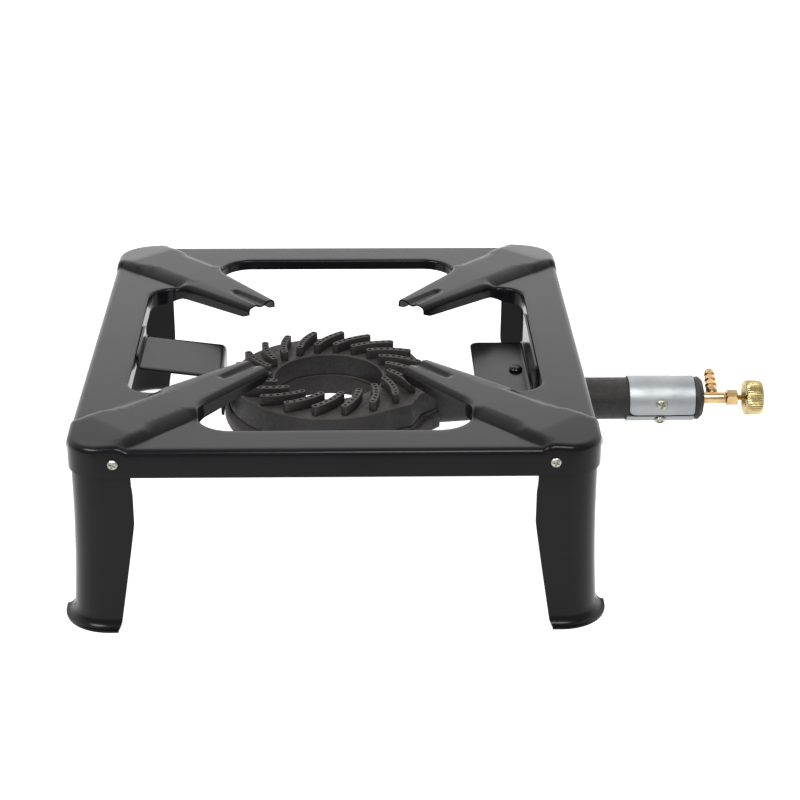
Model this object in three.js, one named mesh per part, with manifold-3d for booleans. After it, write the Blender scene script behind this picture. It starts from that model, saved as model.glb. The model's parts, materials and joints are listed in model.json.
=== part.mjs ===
// A free-standing propane burner stand: a pressed steel top with four pan arms on four
// screwed-on legs, a cast-iron ring burner, an air shutter and a brass needle valve.
// Millimetres, +X towards the valve knob, +Y towards the back, +Z up.

import * as THREE from 'three';
import { mergeVertices } from 'three/addons/utils/BufferGeometryUtils.js';
import Module from 'manifold-3d';

const wasm = await Module();
wasm.setup();

// ---------------------------------------------------------------- driving dimensions
const GAP = 0.3; // clearance between pieces that touch
const SHEET = 1.6; // thickness of the pressed sheet steel
const ARC_STEP = Math.PI / 11; // longest facet of a rounded corner

// top frame
const FRAME_X = 192; // half width, outside the skirt
const FRAME_Y = 206; // half depth, outside the skirt
const FRAME_CORNER = 26; // radius of the frame's corners seen from above
const DECK_Z = 143.2; // top of the side bars
const ARM_Z = 148.2; // top of the pan arms
const SKIRT_Z = 122.2; // lower edge of the outer skirt
const BAR = 34.5; // width of each bar of the deck
const DECK_EDGE = 5; // rounding where the deck turns into the skirt
const SIDE_RIM_Z = 130; // lower edge of the window rim on the side bars
const CROSS_RIM_Z = 134.6; // lower edge of the window rim on the front and back bars
const TIP_RIM_Z = 137.2; // lower edge of an arm's sides at its tip
const SIDE_FILLET = 19; // corner radius of the side windows
const CROSS_FILLET = 26; // corner radius of the front and back windows

// pan arms
const ARM_TIP = new THREE.Vector2(62.2, 62.2); // middle of an arm's free end
const ARM_TURN = THREE.MathUtils.degToRad(47.4); // direction from the tip to the corner
const ARM_LENGTH = 210; // long enough to pass the frame's corner
const ARM_TIP_HALF = 14.3; // half width at the free end
const ARM_WIDENING = 0.1; // growth of the half width per length
const ARM_EDGE = 5; // rounding of the arm's top edge
const ARM_CREASE = 150; // beyond this length the top falls towards the frame's corner
const ARM_FALL = 8; // degrees
const ARM_TIP_CORNER = 3.5; // corner radius of the free end
const GROOVE_RADIUS = 6; // round groove pressed along the arm's free end
const GROOVE_DEPTH = 2.2;
const GROOVE_LENGTH = 32;

// legs
const LEG_TOP = 137.4;
const LEG_WIDTH = 45; // width of each face at the top
const LEG_FOOT_WIDTH = 33; // width of each face at the floor
const LEG_TAPER_Z = 82; // the faces start to narrow below this height
const FOOT_FLARE = 9.5; // radius of the outward flare of the foot
const FOOT_REACH = 11; // how far the flat edge of the foot stands out
const SCREW_INSET = 35; // leg screw, from the frame's outer face
const SCREW_Z = 133;
const SCREW_RADIUS = 2;
const SCREW_HEAD = 4.2;
const HOLE_RADIUS = 2.4;

// burner
const RING_X = -6.3; // the ring burner's centre
const JOINT_Z = 88.4; // joint plane of the two castings
const RING_Z = 108; // top of the burner's plate
const RIB_Z = 116; // top of the port ribs
const BASE_Z = 73.5; // underside of the ring
const RING_RADIUS = 79.3; // outer edge of the plate
const BASE_RADIUS = 84.5; // outer edge of the lower casting
const HOLE_IN_RING = 43.7;
const CASTING = 4; // wall thickness of the castings
const BASE_FLOOR = 5; // thickness of the lower casting's floor
const GAS_ROOM = 76; // outer radius of the hollow ring
const THROAT = [[12, 77.7], [59.5, 54], [68, 33], [80, 21]]; // back half of the throat's outline
const CONE = { start: 66, end: 112, radius: 20.4 }; // where the throat turns into the tube
const LUG = { halfWidth: 12, low: 92, high: 106 }; // carries the left bracket's bolt
const BOSS_RADIUS = 8; // under the right bracket's bolt
const RIBS = 20;
const RIB_WIDTH = 5.8;
const RIB_OUTER = 75; // radius of a rib's outer end
const RIB_INNER = 47.5;
const RIB_SWEEP = THREE.MathUtils.degToRad(0.8); // turn of a rib per millimetre inwards
const RIB_FIRST = THREE.MathUtils.degToRad(9);
const PORT_SLOT = 1.8; // width of the gas slot in a rib's top

// mixing tube and air shutter
const TUBE_Z = 87.4; // axis of tube, valve and knob
const TUBE_RADIUS = 17.1;
const TUBE_BORE = 12.5;
const TUBE_END = 290.3;
const SHUTTER_START = 236.7;
const SHUTTER_LENGTH = 53.4;
const SHUTTER_RADIUS = 18.5;
const SHUTTER_SLOT = THREE.MathUtils.degToRad(-29); // direction of the slot in the rolled sleeve
const SHUTTER_SLOT_WIDTH = 2.4;
const SHUTTER_SCREW_ANGLES = [8, -43]; // degrees above level, seen from the front
const SHUTTER_SCREW_X = 262.8;
const SHUTTER_SCREW_HEAD = 4.6;
const AIR_WINDOW = { start: 257, length: 24, height: 14 };

// brackets
const BRACKET_SHEET = 2;
const LEFT_BRACKET_HALF = 32;
const LEFT_FLANGE_X = -91.3;
const LEFT_BOLT_Z = 101;
const RIGHT_PLATE_Z = 113;
const RIGHT_PLATE_HALF = 57;
const RIGHT_PLATE_X = 111; // its free edge
const RIGHT_PLATE_CORNER = 7;
const RIGHT_BOLT_X = 145;
const BOLT_RADIUS = 2.5;
const BOLT_HOLE = 2.9;
const BOLT_HEAD = 5.4;
const BOLT_LENGTH = 14;

// valve
const CAP_END = 299.2;
const CAP_RADIUS = 17.6;
const BODY_RADIUS = 4.7;
const BODY_END = 317.8;
const NUT_END = 327.4;
const NUT_FLATS = 12;
const KNOB_START = 332.8;
const KNOB_END = 347.4;
const KNOB_RADIUS = 14.3;
const KNOB_TEETH = 40;
const SPINDLE_RADIUS = 2;
const SPINDLE_COVER = 5; // of the knob, over the spindle's end
const BARB_TILT = THREE.MathUtils.degToRad(30); // above level, pointing to the back
const BARB_X = 307;
const BARB_REACH = 27.5; // from the valve's axis to the barb's end

// The part's origin lies under the middle of its bounding box.
const ORIGIN_X = (KNOB_END - (FRAME_X - SHEET - GAP + FOOT_REACH)) / 2;

// ---------------------------------------------------------------- materials
const paint = new THREE.MeshStandardMaterial({ color: 0x0b0b0d, roughness: 0.28, metalness: 0.1 });
const iron = new THREE.MeshStandardMaterial({ color: 0x17171a, roughness: 0.8, metalness: 0.3 });
const zinc = new THREE.MeshStandardMaterial({ color: 0xb9c2c4, roughness: 0.35, metalness: 0.9 });
const steel = new THREE.MeshStandardMaterial({ color: 0xc4c6c2, roughness: 0.3, metalness: 1 });
const brass = new THREE.MeshStandardMaterial({ color: 0xc2a25c, roughness: 0.3, metalness: 1 });
const seal = new THREE.MeshStandardMaterial({ color: 0x1b1b1b, roughness: 0.9, metalness: 0 });

// ---------------------------------------------------------------- solids
// Turns a closed geometry into a solid, with its faces pointing out.
function solidOf(geometry) {
  geometry.deleteAttribute('normal');
  geometry.deleteAttribute('uv');
  const merged = mergeVertices(geometry, 1e-4);
  const positions = merged.attributes.position.array;
  const corners = merged.index.array;
  const kept = [];
  for (let i = 0; i < corners.length; i += 3) {
    const [a, b, c] = [corners[i], corners[i + 1], corners[i + 2]];
    if (a !== b && b !== c && c !== a) kept.push(a, b, c);
  }
  if (signedVolume(positions, kept) < 0) kept.reverse();
  const mesh = new wasm.Mesh({
    numProp: 3,
    vertProperties: new Float32Array(positions),
    triVerts: new Uint32Array(kept),
  });
  return new wasm.Manifold(mesh);
}

function signedVolume(positions, corners) {
  const [a, b, c] = [new THREE.Vector3(), new THREE.Vector3(), new THREE.Vector3()];
  let total = 0;
  for (let i = 0; i < corners.length; i += 3) {
    a.fromArray(positions, 3 * corners[i]);
    b.fromArray(positions, 3 * corners[i + 1]);
    c.fromArray(positions, 3 * corners[i + 2]);
    total += a.dot(b.cross(c));
  }
  return total;
}

const join = (...solids) => solids.reduce((sum, next) => sum.add(next));
const cut = (solid, ...tools) => tools.reduce((rest, tool) => rest.subtract(tool), solid);

// A box between two opposite corners.
function block(low, high) {
  const size = high.map((value, i) => value - low[i]);
  const centre = high.map((value, i) => (value + low[i]) / 2);
  const geometry = new THREE.BoxGeometry(...size);
  geometry.translate(...centre);
  return solidOf(geometry);
}

// A closed outline raised from z0 to z1.
function prism(shape, z0, z1, curveSegments = 6) {
  const geometry = new THREE.ExtrudeGeometry(shape, { depth: z1 - z0, bevelEnabled: false, curveSegments });
  geometry.translate(0, 0, z0);
  return solidOf(geometry);
}

// The same, with its top edge rounded.
function roundedPrism(shape, z0, z1, edge, curveSegments = 6) {
  const options = { depth: z1 - z0, bevelThickness: edge, bevelSize: edge, bevelOffset: -edge };
  const geometry = new THREE.ExtrudeGeometry(shape, { ...options, bevelSegments: 2, curveSegments });
  geometry.translate(0, 0, z0 - edge);
  return cut(solidOf(geometry), block([-400, -400, z0 - 3 * edge], [400, 400, z0]));
}

// An outline in the XZ plane, given as [x, z] pairs, stretched from y0 to y1.
function slabAlongY(outline, y0, y1) {
  const shape = new THREE.Shape(outline.map(([x, z]) => new THREE.Vector2(x, z)));
  const geometry = new THREE.ExtrudeGeometry(shape, { depth: y1 - y0, bevelEnabled: false });
  geometry.rotateX(Math.PI / 2);
  geometry.translate(0, y1, 0);
  return solidOf(geometry);
}

// A profile of [radius, along] pairs turned about the Z axis.
function turnedAboutZ(profile, segments) {
  const points = profile.map(([radius, along]) => new THREE.Vector2(radius, along));
  const geometry = new THREE.LatheGeometry(points, segments);
  geometry.rotateX(Math.PI / 2);
  return solidOf(geometry);
}

// A solid disc or rod about the Z axis.
function disc(radius, z0, z1, segments = 48) {
  return turnedAboutZ([[0, z0], [radius, z0], [radius, z1], [0, z1]], segments);
}

// A profile of [radius, x] pairs turned about the tube's axis.
function turnedAboutTube(profile, segments) {
  const points = profile.map(([radius, along]) => new THREE.Vector2(radius, along));
  const geometry = new THREE.LatheGeometry(points, segments);
  geometry.rotateZ(-Math.PI / 2);
  geometry.translate(0, 0, TUBE_Z);
  return solidOf(geometry);
}

// A solid rod on the tube's axis.
function rod(radius, x0, x1, segments = 24) {
  return turnedAboutTube([[0, x0], [radius, x0], [radius, x1], [0, x1]], segments);
}

// A polygon whose corners [x, y, radius] are rounded.
function roundedOutline(corners) {
  const points = corners.flatMap(([x, y, radius], i) => {
    const here = new THREE.Vector2(x, y);
    const last = corners.at(i - 1);
    const next = corners[(i + 1) % corners.length];
    const back = new THREE.Vector2(last[0], last[1]).sub(here).normalize();
    const ahead = new THREE.Vector2(next[0], next[1]).sub(here).normalize();
    const half = Math.acos(back.dot(ahead)) / 2;
    const enter = here.clone().addScaledVector(back, radius / Math.tan(half));
    const middle = back.clone().add(ahead).normalize();
    const centre = here.clone().addScaledVector(middle, radius / Math.sin(half));
    const sweep = (Math.PI - 2 * half) * (back.cross(ahead) > 0 ? -1 : 1);
    const steps = Math.ceil(Math.abs(sweep) / ARC_STEP);
    return Array.from({ length: steps + 1 }, (_, k) => enter.clone().rotateAround(centre, sweep * k / steps));
  });
  return new THREE.Shape(points);
}

const rectangle = (halfX, halfY, radius) => roundedOutline([
  [halfX, -halfY, radius], [halfX, halfY, radius], [-halfX, halfY, radius], [-halfX, -halfY, radius],
]);

// A hexagon across flats, as an outline about the origin.
function hexagon(flats) {
  const reach = flats / 2 / Math.cos(Math.PI / 6);
  const corner = (i) => new THREE.Vector2(reach, 0).rotateAround(new THREE.Vector2(), i * Math.PI / 3);
  return new THREE.Shape([0, 1, 2, 3, 4, 5].map(corner));
}

function piece(name, solid, material) {
  const { vertProperties, triVerts } = solid.getMesh();
  const geometry = new THREE.BufferGeometry();
  geometry.setAttribute('position', new THREE.BufferAttribute(vertProperties, 3));
  geometry.setIndex(new THREE.BufferAttribute(triVerts, 1));
  geometry.computeVertexNormals();
  const mesh = new THREE.Mesh(geometry, material);
  mesh.name = name;
  return mesh;
}

// ---------------------------------------------------------------- top frame
const along = new THREE.Vector2(Math.cos(ARM_TURN), Math.sin(ARM_TURN));
const across = new THREE.Vector2(-along.y, along.x);

// A point of the arm in the (+X, +Y) corner: s from the tip, side = 1 next to the back bar.
function armPoint(s, side, inset) {
  const half = ARM_TIP_HALF + ARM_WIDENING * s - inset;
  return ARM_TIP.clone().addScaledVector(along, s).addScaledVector(across, side * half);
}

// It starts ahead of the tip, so that the tip is cut square through the pressed section.
function armOutline(inset) {
  return roundedOutline([
    [...armPoint(-10, -1, inset), 6],
    [...armPoint(ARM_LENGTH, -1, inset), 8],
    [...armPoint(ARM_LENGTH, 1, inset), 8],
    [...armPoint(-10, 1, inset), 6],
  ]);
}

// Moves a solid built with the tip at its origin and the arm along +X to its place.
const onArm = (solid) => solid.rotate([0, 0, THREE.MathUtils.radToDeg(ARM_TURN)])
  .translate([ARM_TIP.x, ARM_TIP.y, 0]);

// All that is above the sloping end of the arm.
function aboveFall(top) {
  const slab = block([0, -90, 0], [90, 90, 30]).rotate([0, ARM_FALL, 0]);
  return onArm(slab.translate([ARM_CREASE, 0, top]));
}

// Where an arm's edge meets a bar's window edge at x = limit (side -1) or y = limit (side 1).
function armMeets(limit, side, inset) {
  const axis = side < 0 ? 'x' : 'y';
  const [near, far] = [armPoint(0, side, inset), armPoint(ARM_LENGTH, side, inset)];
  return near.clone().lerp(far, (limit - near[axis]) / (far[axis] - near[axis]));
}

// The opening between bars and arms, grown into the metal.
function openingOutline(grow) {
  const corner = [
    [...armMeets(FRAME_X - BAR + grow, -1, grow), SIDE_FILLET + grow],
    [...armPoint(grow, -1, grow), ARM_TIP_CORNER - grow],
    [...armPoint(grow, 1, grow), ARM_TIP_CORNER - grow],
    [...armMeets(FRAME_Y - BAR + grow, 1, grow), CROSS_FILLET + grow],
  ];
  const mirrored = (sx, sy) => {
    const points = corner.map(([x, y, radius]) => [sx * x, sy * y, radius]);
    return sx * sy > 0 ? points : points.reverse();
  };
  return roundedOutline([...mirrored(1, 1), ...mirrored(-1, 1), ...mirrored(-1, -1), ...mirrored(1, -1)]);
}

// Copies the solid of one corner to all four.
function fourCorners(solid) {
  const halves = join(solid, solid.mirror([1, 0, 0]));
  return join(halves, halves.mirror([0, 1, 0]));
}

function groove(radius) {
  const geometry = new THREE.CylinderGeometry(radius, radius, GROOVE_LENGTH + 14, 16);
  geometry.rotateZ(-Math.PI / 2);
  geometry.translate(GROOVE_LENGTH / 2 - 7, 0, 0);
  const end = new THREE.SphereGeometry(radius * 0.999, 16, 8);
  end.translate(GROOVE_LENGTH, 0, 0);
  const height = ARM_Z + GROOVE_RADIUS - GROOVE_DEPTH;
  return onArm(join(solidOf(geometry), solidOf(end)).translate([0, 0, height]));
}

function topFrame() {
  // The opening trims the outer arm, and the rim thickens the wall left by the inner one.
  const outerArm = cut(
    roundedPrism(armOutline(-0.4), DECK_Z - SHEET, ARM_Z, ARM_EDGE), groove(GROOVE_RADIUS), aboveFall(ARM_Z));
  const hollowArm = cut(
    roundedPrism(armOutline(SHEET + 0.3), DECK_Z - SHEET - 1, ARM_Z - SHEET, ARM_EDGE - SHEET),
    groove(GROOVE_RADIUS + SHEET), aboveFall(ARM_Z - SHEET));
  const outerBlock = roundedPrism(rectangle(FRAME_X, FRAME_Y, FRAME_CORNER), SKIRT_Z, ARM_Z, DECK_EDGE);
  const innerRectangle = rectangle(FRAME_X - SHEET, FRAME_Y - SHEET, FRAME_CORNER - SHEET);
  const innerEdge = DECK_EDGE - SHEET;
  const hollowBlock = roundedPrism(innerRectangle, SKIRT_Z - 1, ARM_Z - SHEET, innerEdge);
  const deck = roundedPrism(rectangle(FRAME_X, FRAME_Y, FRAME_CORNER), SKIRT_Z, DECK_Z, DECK_EDGE);
  const hollowDeck = roundedPrism(innerRectangle, SKIRT_Z - 1, DECK_Z - SHEET, innerEdge);

  const metal = join(deck, fourCorners(outerArm).intersect(outerBlock));
  const hollow = join(hollowDeck, fourCorners(hollowArm).intersect(hollowBlock));
  const opening = prism(openingOutline(0), 100, 200);
  const rimBottoms = join(
    block([-150, -FRAME_Y, 100], [150, FRAME_Y, CROSS_RIM_Z]),
    turnedAboutZ([[0, 120], [150, 120], [150, CROSS_RIM_Z], [88, TIP_RIM_Z], [0, TIP_RIM_Z]], 48),
  );
  const tipMouth = onArm(block([-5, SHEET + 0.3 - ARM_TIP_HALF, 100], [4, ARM_TIP_HALF - SHEET - 0.3, 200]));
  const rim = cut(
    prism(openingOutline(SHEET), SIDE_RIM_Z, DECK_Z - SHEET / 2), opening, rimBottoms, fourCorners(tipMouth));
  return cut(join(cut(metal, hollow, opening), rim), ...legScrewPlaces.map(screwHole));
}

// ---------------------------------------------------------------- legs and their screws
// Each leg has one screw through the front or back skirt and one through the side skirt.
const legScrewPlaces = [];
for (const [row, sy] of [['front', -1], ['rear', 1]]) {
  for (const [column, sx] of [['left', -1], ['right', 1]]) {
    const cross = [sx * (FRAME_X - SCREW_INSET), sy * FRAME_Y];
    const side = [sx * FRAME_X, sy * (FRAME_Y - SCREW_INSET)];
    legScrewPlaces.push({ name: `${row}_${column}`, at: cross, turn: sy < 0 ? -90 : 90 });
    legScrewPlaces.push({ name: `${row}_${column}_side`, at: side, turn: sx < 0 ? 180 : 0 });
  }
}

// Moves a solid built along +X, with x = 0 on the skirt's outer face, to its screw's place.
function atScrew(solid, { at, turn }) {
  return solid.rotate([0, 0, turn]).translate([at[0], at[1], SCREW_Z]);
}

function turnedAboutX(profile, segments) {
  return turnedAboutTube(profile, segments).translate([0, 0, -TUBE_Z]);
}

const screwHole = (place) => atScrew(
  turnedAboutX([[0, -12], [HOLE_RADIUS, -12], [HOLE_RADIUS, 2], [0, 2]], 12), place);

function legScrew(place) {
  const profile = [[0, -9], [SCREW_RADIUS, -9], [SCREW_RADIUS, GAP], [SCREW_HEAD, GAP], [SCREW_HEAD, 1.2],
    [SCREW_HEAD - 0.8, 2], [SCREW_HEAD - 2.4, 2.5], [0, 2.5]];
  return piece(`leg_screw_${place.name}`, atScrew(turnedAboutX(profile, 12), place), steel);
}

function legNut(place) {
  const inner = -2 * SHEET - 2 * GAP;
  const blank = new THREE.ExtrudeGeometry(hexagon(7), { depth: 3, bevelEnabled: false });
  blank.rotateY(Math.PI / 2);
  blank.translate(inner - 3, 0, 0);
  const bore = turnedAboutX([[0, -12], [SCREW_RADIUS + GAP, -12], [SCREW_RADIUS + GAP, 0], [0, 0]], 12);
  return piece(`leg_nut_${place.name}`, atScrew(cut(solidOf(blank), bore), place), steel);
}

// The J-shaped section of a leg's wall: [outward, height], with the flare of the foot.
function legSection() {
  const points = [[-SHEET, LEG_TOP]];
  const steps = 5;
  for (let i = 0; i <= steps; i += 1) {
    const turn = Math.PI / 2 * (i / steps);
    const radius = FOOT_FLARE + SHEET;
    points.push([FOOT_FLARE - radius * Math.cos(turn), SHEET + FOOT_FLARE - radius * Math.sin(turn)]);
  }
  points.push([FOOT_REACH, 0], [FOOT_REACH, SHEET]);
  for (let i = steps; i >= 0; i -= 1) {
    const turn = Math.PI / 2 * (i / steps);
    points.push([FOOT_FLARE - FOOT_FLARE * Math.cos(turn), SHEET + FOOT_FLARE - FOOT_FLARE * Math.sin(turn)]);
  }
  points.push([0, LEG_TOP]);
  return points;
}

// A wall with one section [outward, z] all along a path of { at, out } seen from above.
function sweptWall(path, section) {
  const count = section.length;
  const positions = path.flatMap(({ at, out }) => section.flatMap(([reach, z]) => [
    at.x + out.x * reach, at.y + out.y * reach, z]));
  const faces = [];
  for (let i = 0; i + 1 < path.length; i += 1) {
    for (let k = 0; k < count; k += 1) {
      const [a, b] = [i * count + k, i * count + (k + 1) % count];
      faces.push(a, b, b + count, a, b + count, a + count);
    }
  }
  const outline = section.map(([reach, z]) => new THREE.Vector2(reach, z));
  for (const [a, b, c] of THREE.ShapeUtils.triangulateShape(outline, [])) {
    const last = (path.length - 1) * count;
    faces.push(a, c, b, last + a, last + b, last + c);
  }
  const geometry = new THREE.BufferGeometry();
  geometry.setAttribute('position', new THREE.Float32BufferAttribute(positions, 3));
  geometry.setIndex(faces);
  return solidOf(geometry);
}

// The leg of the (+X, +Y) corner.
function leg() {
  const face = new THREE.Vector2(FRAME_X, FRAME_Y).subScalar(SHEET + GAP);
  const radius = FRAME_CORNER - SHEET - GAP;
  const centre = face.clone().subScalar(radius);
  const path = [{ at: new THREE.Vector2(face.x, face.y - LEG_WIDTH), out: new THREE.Vector2(1, 0) }];
  for (let i = 0; i <= 6; i += 1) {
    const out = new THREE.Vector2(1, 0).rotateAround(new THREE.Vector2(), i * Math.PI / 12);
    path.push({ at: centre.clone().addScaledVector(out, radius), out });
  }
  path.push({ at: new THREE.Vector2(face.x - LEG_WIDTH, face.y), out: new THREE.Vector2(0, 1) });
  const wall = sweptWall(path, legSection());

  const narrowing = LEG_WIDTH - LEG_FOOT_WIDTH;
  const taper = [[-20, -1], [narrowing, -1], [0, LEG_TAPER_Z], [-20, LEG_TAPER_Z]];
  const crossTaper = slabAlongY(taper, -5, 30).translate([face.x - LEG_WIDTH, face.y, 0]);
  const sideTaper = slabAlongY(taper, -30, 5).rotate([0, 0, 90]).translate([face.x, face.y - LEG_WIDTH, 0]);
  return cut(wall, crossTaper, sideTaper);
}

function legs() {
  const one = leg();
  const sides = { left: one.mirror([1, 0, 0]), right: one };
  return ['front', 'rear'].flatMap((row) => ['left', 'right'].map((column) => {
    const solid = row === 'rear' ? sides[column] : sides[column].mirror([0, 1, 0]);
    return piece(`leg_${row}_${column}`, cut(solid, ...legScrewPlaces.map(screwHole)), paint);
  }));
}

// ---------------------------------------------------------------- burner castings
// The angular throat side of the castings, seen from above, grown outwards.
function throatOutline(grow) {
  const back = THROAT.map(([x, y]) => new THREE.Vector2(x + grow, y + grow));
  const front = back.map(({ x, y }) => new THREE.Vector2(x, -y)).reverse();
  return new THREE.Shape([...back, ...front]);
}

const atRing = (solid) => solid.translate([RING_X, 0, 0]);
const mixingBore = () => rod(TUBE_BORE, 55, TUBE_END + 5);

// The lower casting's solid form: ring, throat, tube and the boss for the right bracket.
function baseOutside(rim) {
  const skirt = turnedAboutZ([[0, BASE_Z], [BASE_RADIUS - 2, BASE_Z], [BASE_RADIUS, BASE_Z + 4],
    [BASE_RADIUS, rim - 4.2], [BASE_RADIUS - 3.5, rim], [0, rim]], 48);
  const throat = join(prism(throatOutline(3), BASE_Z, rim - 3.2), prism(throatOutline(0.5), BASE_Z, rim));
  const taper = [[0, CONE.start], [CONE.radius, CONE.start], [TUBE_RADIUS, CONE.end], [0, CONE.end]];
  const roomForHead = block([60, -40, rim], [THROAT.at(-1)[0] + GAP, 40, 130]);
  const cone = cut(turnedAboutTube(taper, 32), roomForHead);
  const tube = rod(TUBE_RADIUS, 100, TUBE_END, 32);
  const bossTop = RIGHT_PLATE_Z - BRACKET_SHEET - GAP;
  const boss = turnedAboutZ([[0, 96], [BOSS_RADIUS, 96], [BOSS_RADIUS - 1, bossTop], [0, bossTop]], 20)
    .translate([RIGHT_BOLT_X, 0, 0]);
  return join(atRing(skirt), throat, cone, tube, boss);
}

function burnerBase() {
  const rim = JOINT_Z - GAP / 2;
  const floor = BASE_Z + BASE_FLOOR;
  const wall = HOLE_IN_RING + 3;
  const innerWall = atRing(disc(wall, 50, rim + 2));
  const room = cut(
    join(atRing(disc(GAS_ROOM, floor, 120)), prism(throatOutline(-CASTING), floor, 120)), innerWall);
  const innerRim = atRing(disc(wall, rim - 2.2, rim + 2));
  const hole = atRing(disc(HOLE_IN_RING - 1.5, 50, 140));
  const bolt = disc(BOLT_HOLE, 97, 130, 12).translate([RIGHT_BOLT_X, 0, 0]);
  const airWindow = block([AIR_WINDOW.start, -40, TUBE_Z - AIR_WINDOW.height / 2],
    [AIR_WINDOW.start + AIR_WINDOW.length, 40, TUBE_Z + AIR_WINDOW.height / 2]);
  return cut(join(cut(baseOutside(rim), room), innerRim), hole, mixingBore(), bolt, airWindow);
}

// One curved rib seen from above: a strip about a spiral, from inner to outer radius.
function ribOutline(width, inner, outer, first) {
  const steps = 4;
  const edge = (side) => {
    const points = [];
    for (let i = 0; i <= steps; i += 1) {
      const radius = THREE.MathUtils.lerp(inner, outer, i / steps);
      const angle = first + RIB_SWEEP * (RIB_OUTER - radius);
      const radial = new THREE.Vector2(Math.cos(angle), Math.sin(angle));
      const tangent = new THREE.Vector2(-radial.y, radial.x);
      const way = radial.clone().addScaledVector(tangent, -RIB_SWEEP * radius).normalize();
      const normal = new THREE.Vector2(-way.y, way.x);
      points.push(radial.multiplyScalar(radius).addScaledVector(normal, side * width / 2));
    }
    return points;
  };
  return new THREE.Shape([...edge(-1), ...edge(1).reverse()]);
}

function burnerHead() {
  const foot = JOINT_Z + GAP / 2;
  const ceiling = RING_Z - CASTING;
  const ring = turnedAboutZ([[0, foot], [RING_RADIUS + 1.2, foot], [RING_RADIUS, RING_Z - 1],
    [RING_RADIUS - 1, RING_Z], [0, RING_Z]], 48);
  const outside = join(atRing(ring), prism(throatOutline(0), foot, RING_Z));
  const room = cut(
    join(atRing(disc(GAS_ROOM - 0.5, 60, ceiling)), prism(throatOutline(-CASTING), 60, ceiling)),
    atRing(disc(HOLE_IN_RING + CASTING, 50, 140)),
  );
  const roomForBase = atRing(disc(60, 60, foot + 2 + GAP / 2));
  const lug = block([LEFT_FLANGE_X + GAP, -LUG.halfWidth, LUG.low], [-80, LUG.halfWidth, LUG.high]);
  const lugHole = turnedAboutX([[0, -100], [BOLT_HOLE, -100], [BOLT_HOLE, -70], [0, -70]], 12)
    .translate([0, 0, LEFT_BOLT_Z]);
  const ribs = [];
  const slots = [];
  for (let i = 0; i < RIBS; i += 1) {
    const first = RIB_FIRST + i * 2 * Math.PI / RIBS;
    ribs.push(atRing(prism(ribOutline(RIB_WIDTH, RIB_INNER, RIB_OUTER, first), RING_Z - 1, RIB_Z)));
    const slot = ribOutline(PORT_SLOT, RIB_INNER + 4, RIB_OUTER - 4, first);
    slots.push(atRing(prism(slot, RING_Z - 10, RIB_Z + 5)));
  }
  const hole = atRing(disc(HOLE_IN_RING, 50, 140));
  const casting = cut(join(outside, lug), room, hole, roomForBase, mixingBore(), lugHole);
  return cut(join(casting, ...ribs), ...slots);
}

// ---------------------------------------------------------------- brackets and bolts
// The outline of a folded strip that follows the points [x, z] with the sheet on its lower left side.
function foldedStrip(points, thickness) {
  const path = points.map(([x, z]) => new THREE.Vector2(x, z));
  const offset = path.map((point, i) => {
    const before = i > 0 ? point.clone().sub(path[i - 1]).normalize() : null;
    const after = i < path.length - 1 ? path[i + 1].clone().sub(point).normalize() : null;
    const normalOf = (way) => new THREE.Vector2(way.y, -way.x);
    const first = normalOf(before ?? after);
    const second = normalOf(after ?? before);
    const bisector = first.clone().add(second).normalize();
    return point.clone().addScaledVector(bisector, thickness / bisector.dot(first));
  });
  return [...path, ...offset.reverse()].map(({ x, y }) => [x, y]);
}

function bracketLeft() {
  const rimFace = -(FRAME_X - BAR) + GAP;
  const strip = foldedStrip([
    [rimFace + BRACKET_SHEET, 141], [rimFace + BRACKET_SHEET, 131], [LEFT_FLANGE_X - 1, 122.6],
    [LEFT_FLANGE_X, 121.4], [LEFT_FLANGE_X, 87],
  ], BRACKET_SHEET);
  const bolt = turnedAboutX([[0, -120], [BOLT_HOLE, -120], [BOLT_HOLE, -80], [0, -80]], 12)
    .translate([0, 0, LEFT_BOLT_Z]);
  return cut(slabAlongY(strip, -LEFT_BRACKET_HALF, LEFT_BRACKET_HALF), bolt);
}

function bracketRight() {
  const rimFace = FRAME_X - BAR - GAP;
  const plate = roundedOutline([
    [rimFace, -RIGHT_PLATE_HALF, 0.5],
    [rimFace, RIGHT_PLATE_HALF, 0.5],
    [RIGHT_PLATE_X, RIGHT_PLATE_HALF, RIGHT_PLATE_CORNER],
    [RIGHT_PLATE_X, -RIGHT_PLATE_HALF, RIGHT_PLATE_CORNER],
  ]);
  const tabHalf = RIGHT_PLATE_HALF - 0.5;
  const tab = block([rimFace - BRACKET_SHEET, -tabHalf, RIGHT_PLATE_Z - 1], [rimFace, tabHalf, 140]);
  const bolt = disc(BOLT_HOLE, 100, 120, 12).translate([RIGHT_BOLT_X, 0, 0]);
  return cut(join(prism(plate, RIGHT_PLATE_Z - BRACKET_SHEET, RIGHT_PLATE_Z), tab), bolt);
}

// A domed bolt along -Z from a face at z = 0.
function domedBolt() {
  return turnedAboutZ([[0, -BOLT_LENGTH], [BOLT_RADIUS, -BOLT_LENGTH], [BOLT_RADIUS, GAP], [BOLT_HEAD, GAP],
    [BOLT_HEAD, 1.2], [BOLT_HEAD - 1, 2.6], [BOLT_HEAD - 3, 3.5], [0, 3.7]], 16);
}

// ---------------------------------------------------------------- air shutter
// Moves a solid that stands on the shutter along +Z to an angle above level at the front.
const onShutter = (solid, angle) => solid
  .rotate([90 - angle, 0, 0]).translate([SHUTTER_SCREW_X, 0, TUBE_Z]);

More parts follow.
